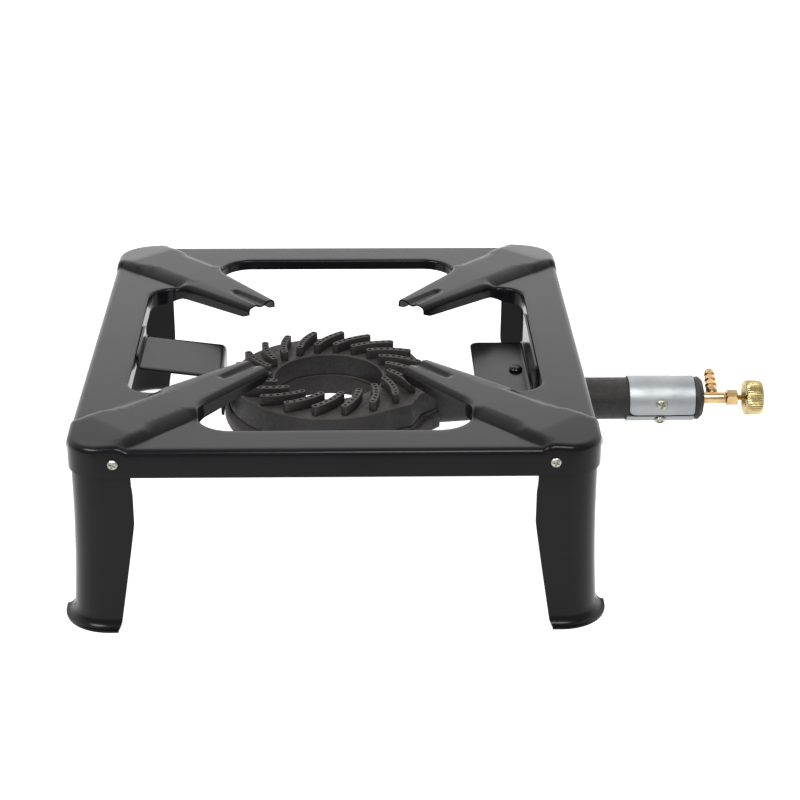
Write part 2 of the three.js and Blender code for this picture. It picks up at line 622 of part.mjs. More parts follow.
function airShutter() {
  const end = SHUTTER_START + SHUTTER_LENGTH;
  const inner = TUBE_RADIUS + GAP;
  const sleeve = turnedAboutTube([[inner, SHUTTER_START], [SHUTTER_RADIUS, SHUTTER_START],
    [SHUTTER_RADIUS, end], [inner, end], [inner, SHUTTER_START]], 48);
  const slot = block([SHUTTER_START - 1, -SHUTTER_SLOT_WIDTH / 2, 10], [end + 1, SHUTTER_SLOT_WIDTH / 2, 30])
    .rotate([90 - THREE.MathUtils.radToDeg(SHUTTER_SLOT), 0, 0]).translate([0, 0, TUBE_Z]);
  const hole = disc(HOLE_RADIUS, 10, 30, 12);
  return cut(sleeve, slot, ...SHUTTER_SCREW_ANGLES.map((angle) => onShutter(hole, angle)));
}

function shutterScrew(angle) {
  const top = SHUTTER_RADIUS + GAP;
  const profile = [[0, TUBE_RADIUS + GAP], [SCREW_RADIUS, TUBE_RADIUS + GAP], [SCREW_RADIUS, top],
    [SHUTTER_SCREW_HEAD, top], [SHUTTER_SCREW_HEAD, top + 1.2], [SHUTTER_SCREW_HEAD - 0.8, top + 2.3],
    [2, top + 2.9], [0, top + 2.9]];
  return onShutter(turnedAboutZ(profile, 16), angle);
}

// ---------------------------------------------------------------- end cap and valve
function endCap() {
  const start = TUBE_END + GAP;
  const plug = TUBE_BORE - GAP;
  const cap = turnedAboutTube([[0, start - 9], [plug, start - 9], [plug, start], [CAP_RADIUS, start],
    [CAP_RADIUS, start + 3.6], [CAP_RADIUS - 2.6, start + 6.4], [9, CAP_END - 0.4], [8, CAP_END],
    [0, CAP_END]], 32);
  return cut(cap, rod(BODY_RADIUS + GAP, 270, 310, 20));
}

const barbFrame = (solid) => solid.rotate([THREE.MathUtils.radToDeg(BARB_TILT) - 90, 0, 0])
  .translate([BARB_X, 0, TUBE_Z]);

function valveBody() {
  const body = turnedAboutTube([[0, 286], [3, 286], [3, 292], [BODY_RADIUS, 292], [BODY_RADIUS, BODY_END],
    [3.5, BODY_END], [3.5, BODY_END + 4], [0, BODY_END + 4]], 24);
  const way = rod(SPINDLE_RADIUS + GAP, 280, 330, 16);
  const inlet = barbFrame(disc(3.3, 0, 10, 16));
  return cut(body, way, inlet);
}

function injectorJet() {
  const blank = new THREE.ExtrudeGeometry(hexagon(8), { depth: 6, bevelEnabled: false });
  blank.rotateY(Math.PI / 2);
  blank.translate(284, 0, TUBE_Z);
  const nose = turnedAboutTube([[0, 277], [2, 277], [3.2, 284.5], [0, 284.5]], 16);
  const socket = rod(3 + GAP, 285.6, 300, 16);
  return cut(join(solidOf(blank), nose), socket, rod(0.8, 270, 290, 8));
}

function hoseBarb() {
  const profile = [[0, 3], [3, 3], [3, 5.4], [4.6, 5.6], [4.6, 10], [3.3, 10.4]];
  const ridge = 5.4;
  for (let i = 0; i < 3; i += 1) {
    const foot = 11 + i * ridge;
    profile.push([3.4, foot], [5.1 - 0.25 * i, foot + 0.5], [3.6, foot + ridge - 0.4]);
  }
  profile.push([3.1, BARB_REACH], [0, BARB_REACH]);
  const bore = disc(1.8, 0, 40, 12);
  return cut(barbFrame(cut(turnedAboutZ(profile, 20), bore)), rod(SPINDLE_RADIUS + GAP, 280, 330, 16));
}

function glandNut() {
  const length = NUT_END - BODY_END - GAP;
  const blank = new THREE.ExtrudeGeometry(hexagon(NUT_FLATS), { depth: length, bevelEnabled: false });
  blank.rotateX(Math.PI);
  blank.rotateY(Math.PI / 2);
  const hex = solidOf(blank);
  const { min } = hex.boundingBox();
  const placed = hex.translate([BODY_END + GAP - min[0], 0, TUBE_Z]);
  const chamfer = turnedAboutTube([[0, BODY_END], [7.1, BODY_END], [7.1, NUT_END - 1.2],
    [5.6, NUT_END], [0, NUT_END]], 24);
  const socket = rod(3.5 + GAP, 310, BODY_END + length - 2.4, 20);
  return cut(placed.intersect(chamfer), socket, rod(SPINDLE_RADIUS + GAP, 310, 340, 16));
}

function packingRing() {
  const start = BODY_END + 4 + GAP;
  return cut(rod(3.5, start, start + 2.4, 20), rod(SPINDLE_RADIUS + GAP, 310, 340, 16));
}

function valveSpindle() {
  const end = KNOB_END - SPINDLE_COVER;
  return turnedAboutTube([[0, 293], [0.6, 293], [SPINDLE_RADIUS, 297], [SPINDLE_RADIUS, end], [0, end]], 16);
}

function controlKnob() {
  const shape = new THREE.Shape();
  for (let i = 0; i < 2 * KNOB_TEETH; i += 1) {
    const radius = KNOB_RADIUS - (i % 2) * 0.7;
    const point = new THREE.Vector2(radius, 0).rotateAround(new THREE.Vector2(), i * Math.PI / KNOB_TEETH);
    if (i === 0) shape.moveTo(point.x, point.y);
    else shape.lineTo(point.x, point.y);
  }
  const geometry = new THREE.ExtrudeGeometry(shape, { depth: KNOB_END - KNOB_START, bevelEnabled: false });
  geometry.rotateY(Math.PI / 2);
  geometry.translate(KNOB_START, 0, TUBE_Z);
  const barrel = turnedAboutTube([[0, KNOB_START], [13.2, KNOB_START], [14.4, KNOB_START + 1.2],
    [13.9, KNOB_END - 1.4], [12.6, KNOB_END], [0, KNOB_END]], 40);
  const socket = rod(SPINDLE_RADIUS + GAP, KNOB_START - 5, KNOB_END - SPINDLE_COVER + GAP, 16);
  return cut(solidOf(geometry).intersect(barrel), socket);
}

// ---------------------------------------------------------------- the object
const stand = new THREE.Group();
stand.position.x = -ORIGIN_X;
stand.add(piece('top_frame', topFrame(), paint));
stand.add(...legs());
stand.add(...legScrewPlaces.map(legScrew));
stand.add(...legScrewPlaces.map(legNut));
stand.add(piece('bracket_left', bracketLeft(), paint));
stand.add(piece('bracket_right', bracketRight(), paint));
stand.add(piece('burner_bolt_left', domedBolt().rotate([0, -90, 0])
  .translate([LEFT_FLANGE_X - BRACKET_SHEET, 0, LEFT_BOLT_Z]), steel));
stand.add(piece('burner_bolt_right', domedBolt().translate([RIGHT_BOLT_X, 0, RIGHT_PLATE_Z]), paint));
stand.add(piece('burner_base', burnerBase(), iron));
stand.add(piece('burner_head', burnerHead(), iron));
stand.add(piece('air_shutter', airShutter(), zinc));
stand.add(piece('shutter_screw_upper', shutterScrew(SHUTTER_SCREW_ANGLES[0]), steel));
stand.add(piece('shutter_screw_lower', shutterScrew(SHUTTER_SCREW_ANGLES[1]), steel));
stand.add(piece('end_cap', endCap(), iron));
stand.add(piece('valve_body', valveBody(), brass));
stand.add(piece('injector_jet', injectorJet(), brass));
stand.add(piece('hose_barb', hoseBarb(), brass));
stand.add(piece('gland_nut', glandNut(), brass));
stand.add(piece('packing_ring', packingRing(), seal));
stand.add(piece('valve_spindle', valveSpindle(), brass));
stand.add(piece('control_knob', controlKnob(), brass));

const root = new THREE.Group();
root.add(stand);

export default root;
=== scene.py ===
"""Looks of the propane burner stand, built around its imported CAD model."""

import json
import math
import random
from contextlib import contextmanager

import bmesh
import bpy
import numpy as np
from mathutils import Matrix, Vector, noise
from mathutils.geometry import delaunay_2d_cdt

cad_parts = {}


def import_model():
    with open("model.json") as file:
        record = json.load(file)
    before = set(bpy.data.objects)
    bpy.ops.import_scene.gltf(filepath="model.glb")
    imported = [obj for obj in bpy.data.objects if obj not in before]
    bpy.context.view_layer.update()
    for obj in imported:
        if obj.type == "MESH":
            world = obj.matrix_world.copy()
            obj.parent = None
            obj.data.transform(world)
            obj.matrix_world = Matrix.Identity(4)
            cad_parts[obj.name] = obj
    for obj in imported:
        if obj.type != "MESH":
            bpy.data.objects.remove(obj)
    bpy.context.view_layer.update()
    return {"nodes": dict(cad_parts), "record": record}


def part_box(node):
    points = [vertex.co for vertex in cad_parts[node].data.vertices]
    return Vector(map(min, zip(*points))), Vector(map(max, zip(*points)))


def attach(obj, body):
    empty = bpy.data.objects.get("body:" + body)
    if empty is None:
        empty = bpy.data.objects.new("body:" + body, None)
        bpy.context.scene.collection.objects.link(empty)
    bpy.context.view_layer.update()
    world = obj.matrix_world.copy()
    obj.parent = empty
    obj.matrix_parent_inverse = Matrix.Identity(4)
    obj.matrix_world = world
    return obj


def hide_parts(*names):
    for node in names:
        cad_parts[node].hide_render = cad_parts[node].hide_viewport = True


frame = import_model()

# Everything below is laid out in millimetres from the middle of the stand, on the floor.
MM = 0.001
FRAME_LOW, FRAME_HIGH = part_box("top_frame")
CENTRE_X = (FRAME_LOW.x + FRAME_HIGH.x) / 2


def world(x, y, z):
    return Vector((CENTRE_X + x * MM, y * MM, z * MM))


def node_box(node):
    """The lowest and highest corner of a CAD node, in the script's own millimetres."""
    low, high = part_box(node)
    shift = Vector((CENTRE_X, 0, 0))
    return (low - shift) / MM, (high - shift) / MM


# ---------------------------- driving dimensions
SHEET = 1.5  # thickness of the frame's and the legs' sheet
HALF_X = (FRAME_HIGH.x - FRAME_LOW.x) / 2 / MM
HALF_Y = (FRAME_HIGH.y - FRAME_LOW.y) / 2 / MM
ARM_TOP = FRAME_HIGH.z / MM
SKIRT_BOTTOM = FRAME_LOW.z / MM
DECK = ARM_TOP - 5
CORNER = 26  # outside radius of the frame's corners
BAR = 34.5  # width of the frame's bars
EDGE = 5  # radius between the deck and the skirt
ARM_TIP = Vector((62.2, 62.2))
ARM_TURN = math.radians(47.4)
ARM_ALONG = Vector((math.cos(ARM_TURN), math.sin(ARM_TURN)))
ARM_ACROSS = Vector((-ARM_ALONG.y, ARM_ALONG.x))
ARM_TIP_HALF = 14.3
ARM_WIDENING = 0.1
ARM_START = -10  # the arms are made longer than they are and cut square afterwards
ARM_REACH = 140  # from the tip to where an arm's edges run into the bars
RING_X = -6.3
TUBE_Z = 87.4
UP = Vector((0, 0, 1))
CORNERS = [(f"{row}_{column}", sx, sy) for row, sy in (("front", -1), ("rear", 1))
           for column, sx in (("left", -1), ("right", 1))]


# ---------------------------- mesh helpers
def linked(name, data):
    """A new object in the scene."""
    thing = bpy.data.objects.new(name, data)
    bpy.context.scene.collection.objects.link(thing)
    return thing


@contextmanager
def editing(thing):
    """The object's mesh as a BMesh that is written back afterwards."""
    body = bmesh.new()
    body.from_mesh(thing.data)
    yield body
    body.to_mesh(thing.data)
    body.free()


def new_object(name, points, faces, smooth=True):
    mesh = bpy.data.meshes.new(name)
    mesh.from_pydata([world(*p) for p in points], [], faces)
    mesh.validate()
    thing = linked(name, mesh)
    with editing(thing) as body:
        bmesh.ops.remove_doubles(body, verts=body.verts, dist=1e-7)
        bmesh.ops.recalc_face_normals(body, faces=body.faces)
    mesh.polygons.foreach_set("use_smooth", [smooth] * len(mesh.polygons))
    return thing


def face_towards(body, face, way):
    """Turns the whole mesh over if this face of it looks away from where it should."""
    if face.normal.dot(way) < 0:
        bmesh.ops.reverse_faces(body, faces=body.faces)


def finish_piece(thing, body, slot, *nodes, material=None):
    """Gives a piece its material, its body and the CAD nodes that it stands for."""
    thing.data.materials.clear()
    thing.data.materials.append(material or FINISHES[slot])
    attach(thing, body)
    if nodes:
        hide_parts(*nodes)


def modifier(thing, kind, **settings):
    """Adds a modifier and applies it at once."""
    made = thing.modifiers.new(kind, kind)
    for key, value in settings.items():
        setattr(made, key, value)
    bpy.context.view_layer.update()
    graph = bpy.context.evaluated_depsgraph_get()
    mesh = bpy.data.meshes.new_from_object(thing.evaluated_get(graph))
    thing.modifiers.clear()
    thing.data = mesh


def bevelled(thing, width, segments=3, angle=35):
    """Rounds the edges that are sharper than an angle, by a width in millimetres."""
    modifier(thing, "BEVEL", width=width * MM, segments=segments, limit_method="ANGLE",
             angle_limit=math.radians(angle), use_clamp_overlap=True)
    shade_by_angle(thing, 40)


def shade_by_angle(thing, degrees):
    """Smooth shading, with sharp edges where the faces turn by more than an angle."""
    thing.data.polygons.foreach_set("use_smooth", [True] * len(thing.data.polygons))
    limit = math.radians(degrees)
    with editing(thing) as body:
        for edge in body.edges:
            edge.smooth = len(edge.link_faces) != 2 or edge.calc_face_angle(0) < limit


def boolean(thing, tool, operation="DIFFERENCE"):
    modifier(thing, "BOOLEAN", object=tool, operation=operation, solver="EXACT")
    bpy.data.objects.remove(tool)


def joined(name, things):
    """One object out of several, their meshes put side by side."""
    body = bmesh.new()
    for thing in things:
        body.from_mesh(thing.data)
    mesh = bpy.data.meshes.new(name)
    body.to_mesh(mesh)
    body.free()
    for thing in things:
        bpy.data.objects.remove(thing)
    return linked(name, mesh)


def grid_faces(rows, columns, closed_columns=False):
    """Quads between rows of points. Closed columns join each row's end to its start."""
    faces = []
    for i in range(rows - 1):
        row, following = i * columns, (i + 1) * columns
        for k in range(columns if closed_columns else columns - 1):
            beside = (k + 1) % columns
            faces.append((row + k, row + beside, following + beside, following + k))
    return faces


def shifted(faces, start):
    """The same faces for points that come after others."""
    return [tuple(start + i for i in face) for face in faces]


def lathe(name, profile, place, segments=64, shaped=None):
    """A profile of (radius, along) pairs turned about the axis that place(radius, angle, along) follows.

    Where it isn't round, shaped(radius, along, angle) gives the radius."""
    points, faces, rings = [], [], []
    for radius, along in profile:
        if radius < 1e-6:
            rings.append([len(points)])
            points.append(place(0, 0, along))
        else:
            rings.append(list(range(len(points), len(points) + segments)))
            for k in range(segments):
                angle = 2 * math.pi * k / segments
                points.append(place(shaped(radius, along, angle) if shaped else radius, angle, along))
    for lower, upper in zip(rings, rings[1:]):
        for k in range(segments):
            ring = [lower[k % len(lower)], lower[(k + 1) % len(lower)],
                    upper[(k + 1) % len(upper)], upper[k % len(upper)]]
            corners = list(dict.fromkeys(ring))
            if len(corners) > 2:
                faces.append(corners)
    return new_object(name, points, faces)


def about_tube(radius, angle, along):
    """Angle 0 points to the front, a quarter turn points up."""
    return along, -radius * math.cos(angle), TUBE_Z + radius * math.sin(angle)


def about_ring(radius, angle, along):
    return RING_X + radius * math.cos(angle), radius * math.sin(angle), along


def rounded_profile(corners, steps=5):
    """An open profile whose corners (a, b, radius) are rounded."""
    points = []
    for i, (a, b, radius) in enumerate(corners):
        here = Vector((a, b))
        if radius <= 0 or i in (0, len(corners) - 1):
            points.append((a, b))
            continue
        back = Vector(corners[i - 1][:2]) - here
        ahead = Vector(corners[i + 1][:2]) - here
        reach = min(back.length, ahead.length) * 0.49
        back.normalize()
        ahead.normalize()
        half = math.acos(max(-1, min(1, back.dot(ahead)))) / 2
        length = min(radius / math.tan(half), reach) if half < 1.56 else 0
        if length < 1e-4:
            points.append((a, b))
            continue
        radius = length * math.tan(half)
        centre = here + (back + ahead).normalized() * (radius / math.sin(half))
        start = here + back * length - centre
        end = here + ahead * length - centre
        sweep = math.atan2(start.x * end.y - start.y * end.x, start.dot(end))
        for k in range(steps + 1):
            turn = sweep * k / steps
            spun = Vector((start.x * math.cos(turn) - start.y * math.sin(turn),
                           start.x * math.sin(turn) + start.y * math.cos(turn)))
            points.append(tuple(centre + spun))
    return points


def rounding(distance, radius):
    """How far a rounded corner draws back at a distance from the end."""
    if distance >= radius:
        return 0
    return radius - math.sqrt(max(0, radius ** 2 - (radius - max(0, distance)) ** 2))


def block(name, bottom, top):
    """A block between two outlines that have the same number of points."""
    count = len(bottom)
    faces = [tuple(range(count)), tuple(range(count, 2 * count))]
    faces += [(k, (k + 1) % count, count + (k + 1) % count, count + k) for k in range(count)]
    return new_object(name, bottom + top, faces, smooth=False)


def prism(name, outline, z0, z1):
    """An upright block from a 2D outline."""
    return block(name, [(x, y, z0) for x, y in outline], [(x, y, z1) for x, y in outline])


# ---------------------------- materials
class Tree:
    """Short ways to add and link the nodes of a material or a world."""

    def __init__(self, tree):
        self.tree = tree

    def plug(self, value, socket):
        """Links a socket to another one, or sets its value."""
        if isinstance(value, bpy.types.NodeSocket):
            self.tree.links.new(value, socket)
        else:
            socket.default_value = value

    def add(self, kind, **settings):
        """A node with its settings; in_Name or in_0 means an input by name or number."""
        node = self.tree.nodes.new(kind)
        for key, value in settings.items():
            if key.startswith("in_"):
                key = key[3:].replace("_", " ")
                self.plug(value, node.inputs[int(key) if key.isdigit() else key])
            else:
                setattr(node, key, value)
        return node

    def ramp(self, factor, *stops):
        """A grey ramp through (position, value) stops."""
        made = self.add("ShaderNodeValToRGB", in_0=factor)
        ramp = made.color_ramp
        while len(ramp.elements) < len(stops):
            ramp.elements.new(0.5)
        for element, (position, grey) in zip(ramp.elements, stops):
            element.position = position
            element.color = (grey, grey, grey, 1)
        return made.outputs[0]

    def math(self, operation, first, second):
        return self.add("ShaderNodeMath", operation=operation, in_0=first, in_1=second).outputs[0]

    def part(self, vector, index):
        """One coordinate of a vector."""
        return self.add("ShaderNodeSeparateXYZ", in_0=vector).outputs[index]


class Surface(Tree):
    """A procedural material around one Principled shader."""

    def __init__(self, name, **values):
        self.material = bpy.data.materials.new(name)
        self.material.use_nodes = True
        super().__init__(self.material.node_tree)
        self.shader = self.tree.nodes["Principled BSDF"]
        self.place = self.add("ShaderNodeTexCoord").outputs["Object"]
        self.connect(**values)

    def noise(self, scale, detail=4, roughness=0.55, stretch=None):
        vector = self.place
        if stretch:
            vector = self.add("ShaderNodeMapping", in_Vector=vector, in_Scale=stretch).outputs[0]
        made = self.add("ShaderNodeTexNoise", in_Vector=vector, in_Scale=scale,
                        in_Detail=detail, in_Roughness=roughness)
        return made.outputs[0]

    def mix(self, factor, first, second):
        """A colour between two, each a socket or three numbers."""
        made = self.add("ShaderNodeMix", data_type="RGBA", in_0=factor)
        for index, value in ((6, first), (7, second)):
            self.plug((*value, 1) if isinstance(value, tuple) else value, made.inputs[index])
        return made.outputs[2]

    def bump(self, *layers):
        """Bumps of (height, distance in mm, strength), the coarsest first."""
        normal = None
        for height, distance, strength in layers:
            made = self.add("ShaderNodeBump", in_Height=height, in_Distance=distance * MM,
                            in_Strength=strength)
            if normal:
                self.plug(normal, made.inputs["Normal"])
            normal = made.outputs[0]
        self.plug(normal, self.shader.inputs["Normal"])

    def connect(self, **sockets):
        for key, value in sockets.items():
            self.plug(value, self.shader.inputs[key.replace("_", " ")])
        return self.material


def black_paint():
    """Gloss stove paint: slow waves, fine orange peel and a few specks of dust."""
    m = Surface("black_paint", Specular_IOR_Level=0.15)
    cloud = m.noise(18, 3)
    peel = m.noise(420, 2)
    wave = m.noise(14, 1)
    speck = m.ramp(m.noise(900, 2, 0.6), (0.70, 0), (0.78, 1))
    colour = m.mix(m.ramp(cloud, (0.3, 0), (0.7, 1)), (0.0032, 0.0028, 0.0035), (0.0048, 0.0042, 0.0050))
    colour = m.mix(m.math("MULTIPLY", speck, 0.25), colour, (0.03, 0.028, 0.027))
    rough = m.ramp(m.noise(30, 5), (0.3, 0.17), (0.7, 0.24))
    m.bump((wave, 0.5, 0.05), (peel, 0.05, 0.10))
    return m.connect(Base_Color=colour, Roughness=rough)


def cast_iron():
    """Sand-cast iron, darkened, with brown dust in patches and painted light from above on the faces that
    look up.
    """
    m = Surface("cast_iron", Specular_IOR_Level=0.3)
    grain = m.noise(700, 6, 0.7)
    sand = m.noise(260, 5, 0.65)
    lump = m.noise(70, 3)
    # Faces that look up get a lighter, browner colour: partly dust in patches, partly painted light from
    # above.
    upward = m.part(m.add("ShaderNodeNewGeometry").outputs["Normal"], 2)
    patches = m.ramp(m.noise(40, 6, 0.6), (0.36, 0.35), (0.66, 1))
    dust_and_painted_light = m.math("MULTIPLY", patches, m.ramp(upward, (0.3, 0.2), (0.9, 1)))
    colour = m.mix(m.ramp(grain, (0.35, 0), (0.7, 1)), (0.006, 0.0055, 0.0068), (0.019, 0.0175, 0.0190))
    colour = m.mix(m.math("MULTIPLY", dust_and_painted_light, 0.6), colour, (0.058, 0.050, 0.043))
    rough = m.ramp(sand, (0.3, 0.45), (0.7, 0.72))
    m.bump((lump, 0.5, 0.35), (sand, 0.35, 0.7), (grain, 0.12, 0.6))
    return m.connect(Base_Color=colour, Roughness=rough)


def zinc_plate():
    """Dull zinc with a faint blue tone and streaks along the rolling."""
    m = Surface("zinc_plate", Metallic=1.0)
    streak = m.noise(60, 4, 0.6, stretch=(1, 8, 8))
    cloud = m.noise(35, 4)
    colour = m.mix(m.ramp(cloud, (0.35, 0), (0.7, 1)), (0.29, 0.31, 0.32), (0.36, 0.38, 0.385))
    streak = m.math("MULTIPLY", m.ramp(streak, (0.55, 0), (0.75, 1)), 0.25)
    colour = m.mix(streak, colour, (0.26, 0.27, 0.27))
    rough = m.ramp(m.noise(55, 5), (0.3, 0.46), (0.7, 0.58))
    m.bump((m.noise(30, 2), 0.4, 0.08), (m.noise(800, 3), 0.04, 0.25))
    return m.connect(Base_Color=colour, Roughness=rough)


def screw_steel():
    """Plated steel with a warm, uneven tone."""
    m = Surface("screw_steel", Metallic=1.0)
    cloud = m.noise(400, 4)
    colour = m.mix(m.ramp(cloud, (0.4, 0), (0.65, 1)), (0.44, 0.43, 0.38), (0.27, 0.26, 0.21))
    rough = m.ramp(m.noise(500, 3), (0.3, 0.25), (0.7, 0.42))
    m.bump((m.noise(1200, 3), 0.03, 0.3))
    return m.connect(Base_Color=colour, Roughness=rough)


def brass(name, light, dark, roughness):
    """Turned brass that has dulled in patches."""
    m = Surface(name, Metallic=1.0)
    cloud = m.noise(90, 5, 0.6)
    colour = m.mix(m.ramp(cloud, (0.35, 0), (0.72, 1)), light, dark)
    rough = m.ramp(m.noise(160, 4), (0.3, roughness), (0.7, roughness + 0.14))
    m.bump((m.noise(900, 3), 0.03, 0.25))
    return m.connect(Base_Color=colour, Roughness=rough)


def packing():
    """Black packing cord."""
    m = Surface("seal", Specular_IOR_Level=0.3)
    colour = m.mix(m.ramp(m.noise(600), (0.4, 0), (0.7, 1)), (0.015, 0.015, 0.015), (0.04, 0.04, 0.04))
    rough = m.ramp(m.noise(300), (0.3, 0.75), (0.7, 0.9))
    m.bump((m.noise(900), 0.05, 0.4))
    return m.connect(Base_Color=colour, Roughness=rough)


FINISHES = {
    "black_paint": black_paint(),
    "cast_iron": cast_iron(),
    "zinc_plate": zinc_plate(),
    "screw_steel": screw_steel(),
    "brass": brass("brass", (0.62, 0.44, 0.22), (0.42, 0.27, 0.12), 0.22),
    "seal": packing(),
}
KNOB_BRASS = brass("knob_brass", (0.58, 0.47, 0.23), (0.38, 0.31, 0.14), 0.2)


# ---------------------------- top frame
def rounded_path(corners, spacing):
    """A closed outline with rounded corners (x, y, radius), as (point, outward normal) pairs."""
    path = []
    count = len(corners)
    arcs = []
    for i in range(count):
        x, y, radius = corners[i]
        here = Vector((x, y))
        back = (Vector(corners[i - 1][:2]) - here).normalized()
        ahead = (Vector(corners[(i + 1) % count][:2]) - here).normalized()
        half = math.acos(back.dot(ahead)) / 2
        centre = here + (back + ahead).normalized() * (radius / math.sin(half))
        start = here + back * (radius / math.tan(half)) - centre
        turn = (math.pi - 2 * half) * (-1 if back.cross(ahead) > 0 else 1)
        arcs.append((centre, start, turn, radius))
    for i, (centre, start, turn, radius) in enumerate(arcs):
        steps = max(4, math.ceil(abs(turn) * radius / spacing))
        side = 1 if turn > 0 else -1
        for k in range(steps + 1):
            spoke = Matrix.Rotation(turn * k / steps, 2) @ start
            path.append((centre + spoke, spoke.normalized() * side))
        next_centre, next_start = arcs[(i + 1) % count][:2]
        begin, end = path[-1][0], next_centre + next_start
        steps = max(1, round((end - begin).length / spacing))
        normal = path[-1][1]
        path += [(begin.lerp(end, k / steps), normal) for k in range(1, steps)]
    return path


def arm_half(along):
    return ARM_TIP_HALF + ARM_WIDENING * along


def arm_point(along, side):
    """A point on the edge of the arm at the right rear."""
    return ARM_TIP + ARM_ALONG * along + ARM_ACROSS * side * arm_half(along)


def arm_meets(limit, axis, side):
    """Where the arm's edge crosses a bar's inner edge."""
    near, far = arm_point(0, side), arm_point(200, side)
    return near.lerp(far, (limit - near[axis]) / (far[axis] - near[axis]))


def opening_corners():
    """The window's outline, as corners (x, y, radius)."""
    quarter = [
        (*arm_meets(HALF_X - BAR, 0, -1), 19),
        (*arm_point(ARM_START, -1), 3),
        (*arm_point(ARM_START, 1), 3),
        (*arm_meets(HALF_Y - BAR, 1, 1), 26),
    ]
    corners = []
    for sx, sy in ((1, 1), (-1, 1), (-1, -1), (1, -1)):
        turned = [(sx * x, sy * y, radius) for x, y, radius in quarter]
        corners += turned if sx * sy > 0 else turned[::-1]
    return corners


def to_arm(x, y):
    """Along and across coordinates of the nearest arm."""
    offset = Vector((abs(x), abs(y))) - ARM_TIP
    return offset.dot(ARM_ALONG), offset.dot(ARM_ACROSS)


# The slope that carries an arm above the deck starts at two lines, each a point and a direction.
SIDE_FOOT = (Vector((72.7, 52.5)), Vector((0.7506, 0.6683)))
CROSS_FOOT = (Vector((103, 153.5)), Vector((0.6857, 0.7278)))
SLOPE_WIDTH = 7.2
ARM_BEND = 147  # from the tip to where an arm's top bends down to the frame's corner
ARM_BEND_SLOPE = 0.11
ARM_LEVEL_FROM = 90  # nearer the tip than this, an arm's top sinks a little
ARM_TIP_SLOPE = 0.012
GROOVE_LENGTH = 33
GROOVE_DEPTH = 2.2
ROUND_STEPS = 7
SKIRT_LEVELS = (136, 130, 125, SKIRT_BOTTOM + 0.6, SKIRT_BOTTOM)
RIM_SHARES = (0.3, 0.65, 0.93, 1)
SIDE_RIM_Z = 130
FRONT_RIM_Z = 134.6
ARM_RIM_Z = 134.5
ARM_RIM_RISE = 2.6  # the rim gets this much shallower along the last stretch to the tip
ARM_RIM_STRETCH = 78
SIDE_WINDOW_DEPTH = 21
SIDE_WINDOW_HALF = 125
SLOPE_DEPTHS = (-1.2, 0, 0.9, 1.8, 2.8, 3.8, 4.9, 6.0, SLOPE_WIDTH, 8.6)
BEND_STATIONS = (136, 139, 142, 144, 146, 148, 150, 153, 157)
BORDER_GAP = 0.7
POINT_GAP = 0.3


def inside_slope(x, y):
    """How far a point lies inside the foot of the raised arm."""
    point = Vector((abs(x), abs(y)))
    side = (point - SIDE_FOOT[0]).cross(SIDE_FOOT[1]) * -1
    cross = (point - CROSS_FOOT[0]).cross(CROSS_FOOT[1])
    return min(side, cross)


def arm_level(along):
    """Height of the arm's top: level in the middle, lower at its tip and at the frame's corner."""
    fall = ARM_BEND_SLOPE * (math.hypot(max(0, along - ARM_BEND), 3) - 3)
    return ARM_TOP - fall - ARM_TIP_SLOPE * max(0, ARM_LEVEL_FROM - along)


def groove_depth(along, across):
    """Depth of the stiffening groove that runs into the arm from its tip."""
    half = 6.4 - 2.0 * max(0, min(along, GROOVE_LENGTH)) / GROOVE_LENGTH
    distance = abs(across) if along < GROOVE_LENGTH else math.hypot(across, along - GROOVE_LENGTH)
    if distance >= half:
        return 0
    return GROOVE_DEPTH * math.cos(math.pi / 2 * distance / half) ** 1.5


def top_height(x, y):
    """The pressing's outside surface, before its edges are rounded."""
    along, across = to_arm(x, y)
    depth = inside_slope(x, y)
    rise = 0
    if depth > 0:
        rise = 1 - (1 - min(1, depth / SLOPE_WIDTH)) ** 2
    height = DECK + max(0, arm_level(along) - DECK) * rise
    return height - groove_depth(along, across)


def rim_bottom(point, armness):
    """How low the window's turned-down rim reaches."""
    along, _ = to_arm(*point)
    at_side = abs(point.x) > HALF_X - BAR - SIDE_WINDOW_DEPTH and abs(point.y) < SIDE_WINDOW_HALF
    bar = SIDE_RIM_Z if at_side else FRONT_RIM_Z
    arm = ARM_RIM_Z + ARM_RIM_RISE * max(0, min(1, 1 - along / ARM_RIM_STRETCH)) + rounding(along, 4.5)
    return bar * (1 - armness) + arm * armness


def on_arm(point):
    """1 where the window's rim belongs to an arm, 0 where it belongs to a bar."""
    along, across = to_arm(*point)
    return 1.0 if along < ARM_REACH and abs(across) < arm_half(along) + 1.5 else 0.0


def smoothed(values, reach):
    """The running mean round a closed row of values."""
    count = len(values)
    return [sum(values[(i + k) % count] for k in range(-reach, reach + 1)) / (2 * reach + 1)
            for i in range(count)]


def rounded_edge(border, loop, radii, side):
    """Rows of points from the deck round an edge. side is 1 for the window and -1 for the outline."""
    points = []
    for step in range(ROUND_STEPS + 1):
        turn = math.pi / 2 * step / ROUND_STEPS
        for (point, normal), radius, top in zip(border, radii, loop):
            place = point + normal * (side * radius * (1 - math.sin(turn)))
            points.append((place.x, place.y, top_height(*top) - radius * (1 - math.cos(turn))))
    return points


def outer_edge(outer, loop):
    """Rows of points from the deck round the pressing's edge and down its skirt."""
    points = rounded_edge(outer, loop, [EDGE] * len(outer), -1)
    edge = points[-len(outer):]
    for level in SKIRT_LEVELS:
        points += [(x, y, min(z, level)) for x, y, z in edge]
    return points


def inner_edge(inner, loop, radii, bottoms):
    """Rows of points from the deck round the window's edge and down its rim."""
    points = rounded_edge(inner, loop, radii, 1)
    edge = points[-len(inner):]
    for share in RIM_SHARES:
        points += [(x, y, z + (min(bottom, z) - z) * share) for (x, y, z), bottom in zip(edge, bottoms)]
    return points


def closed_loop(start, count):
    return [(start + k, start + (k + 1) % count) for k in range(count)]


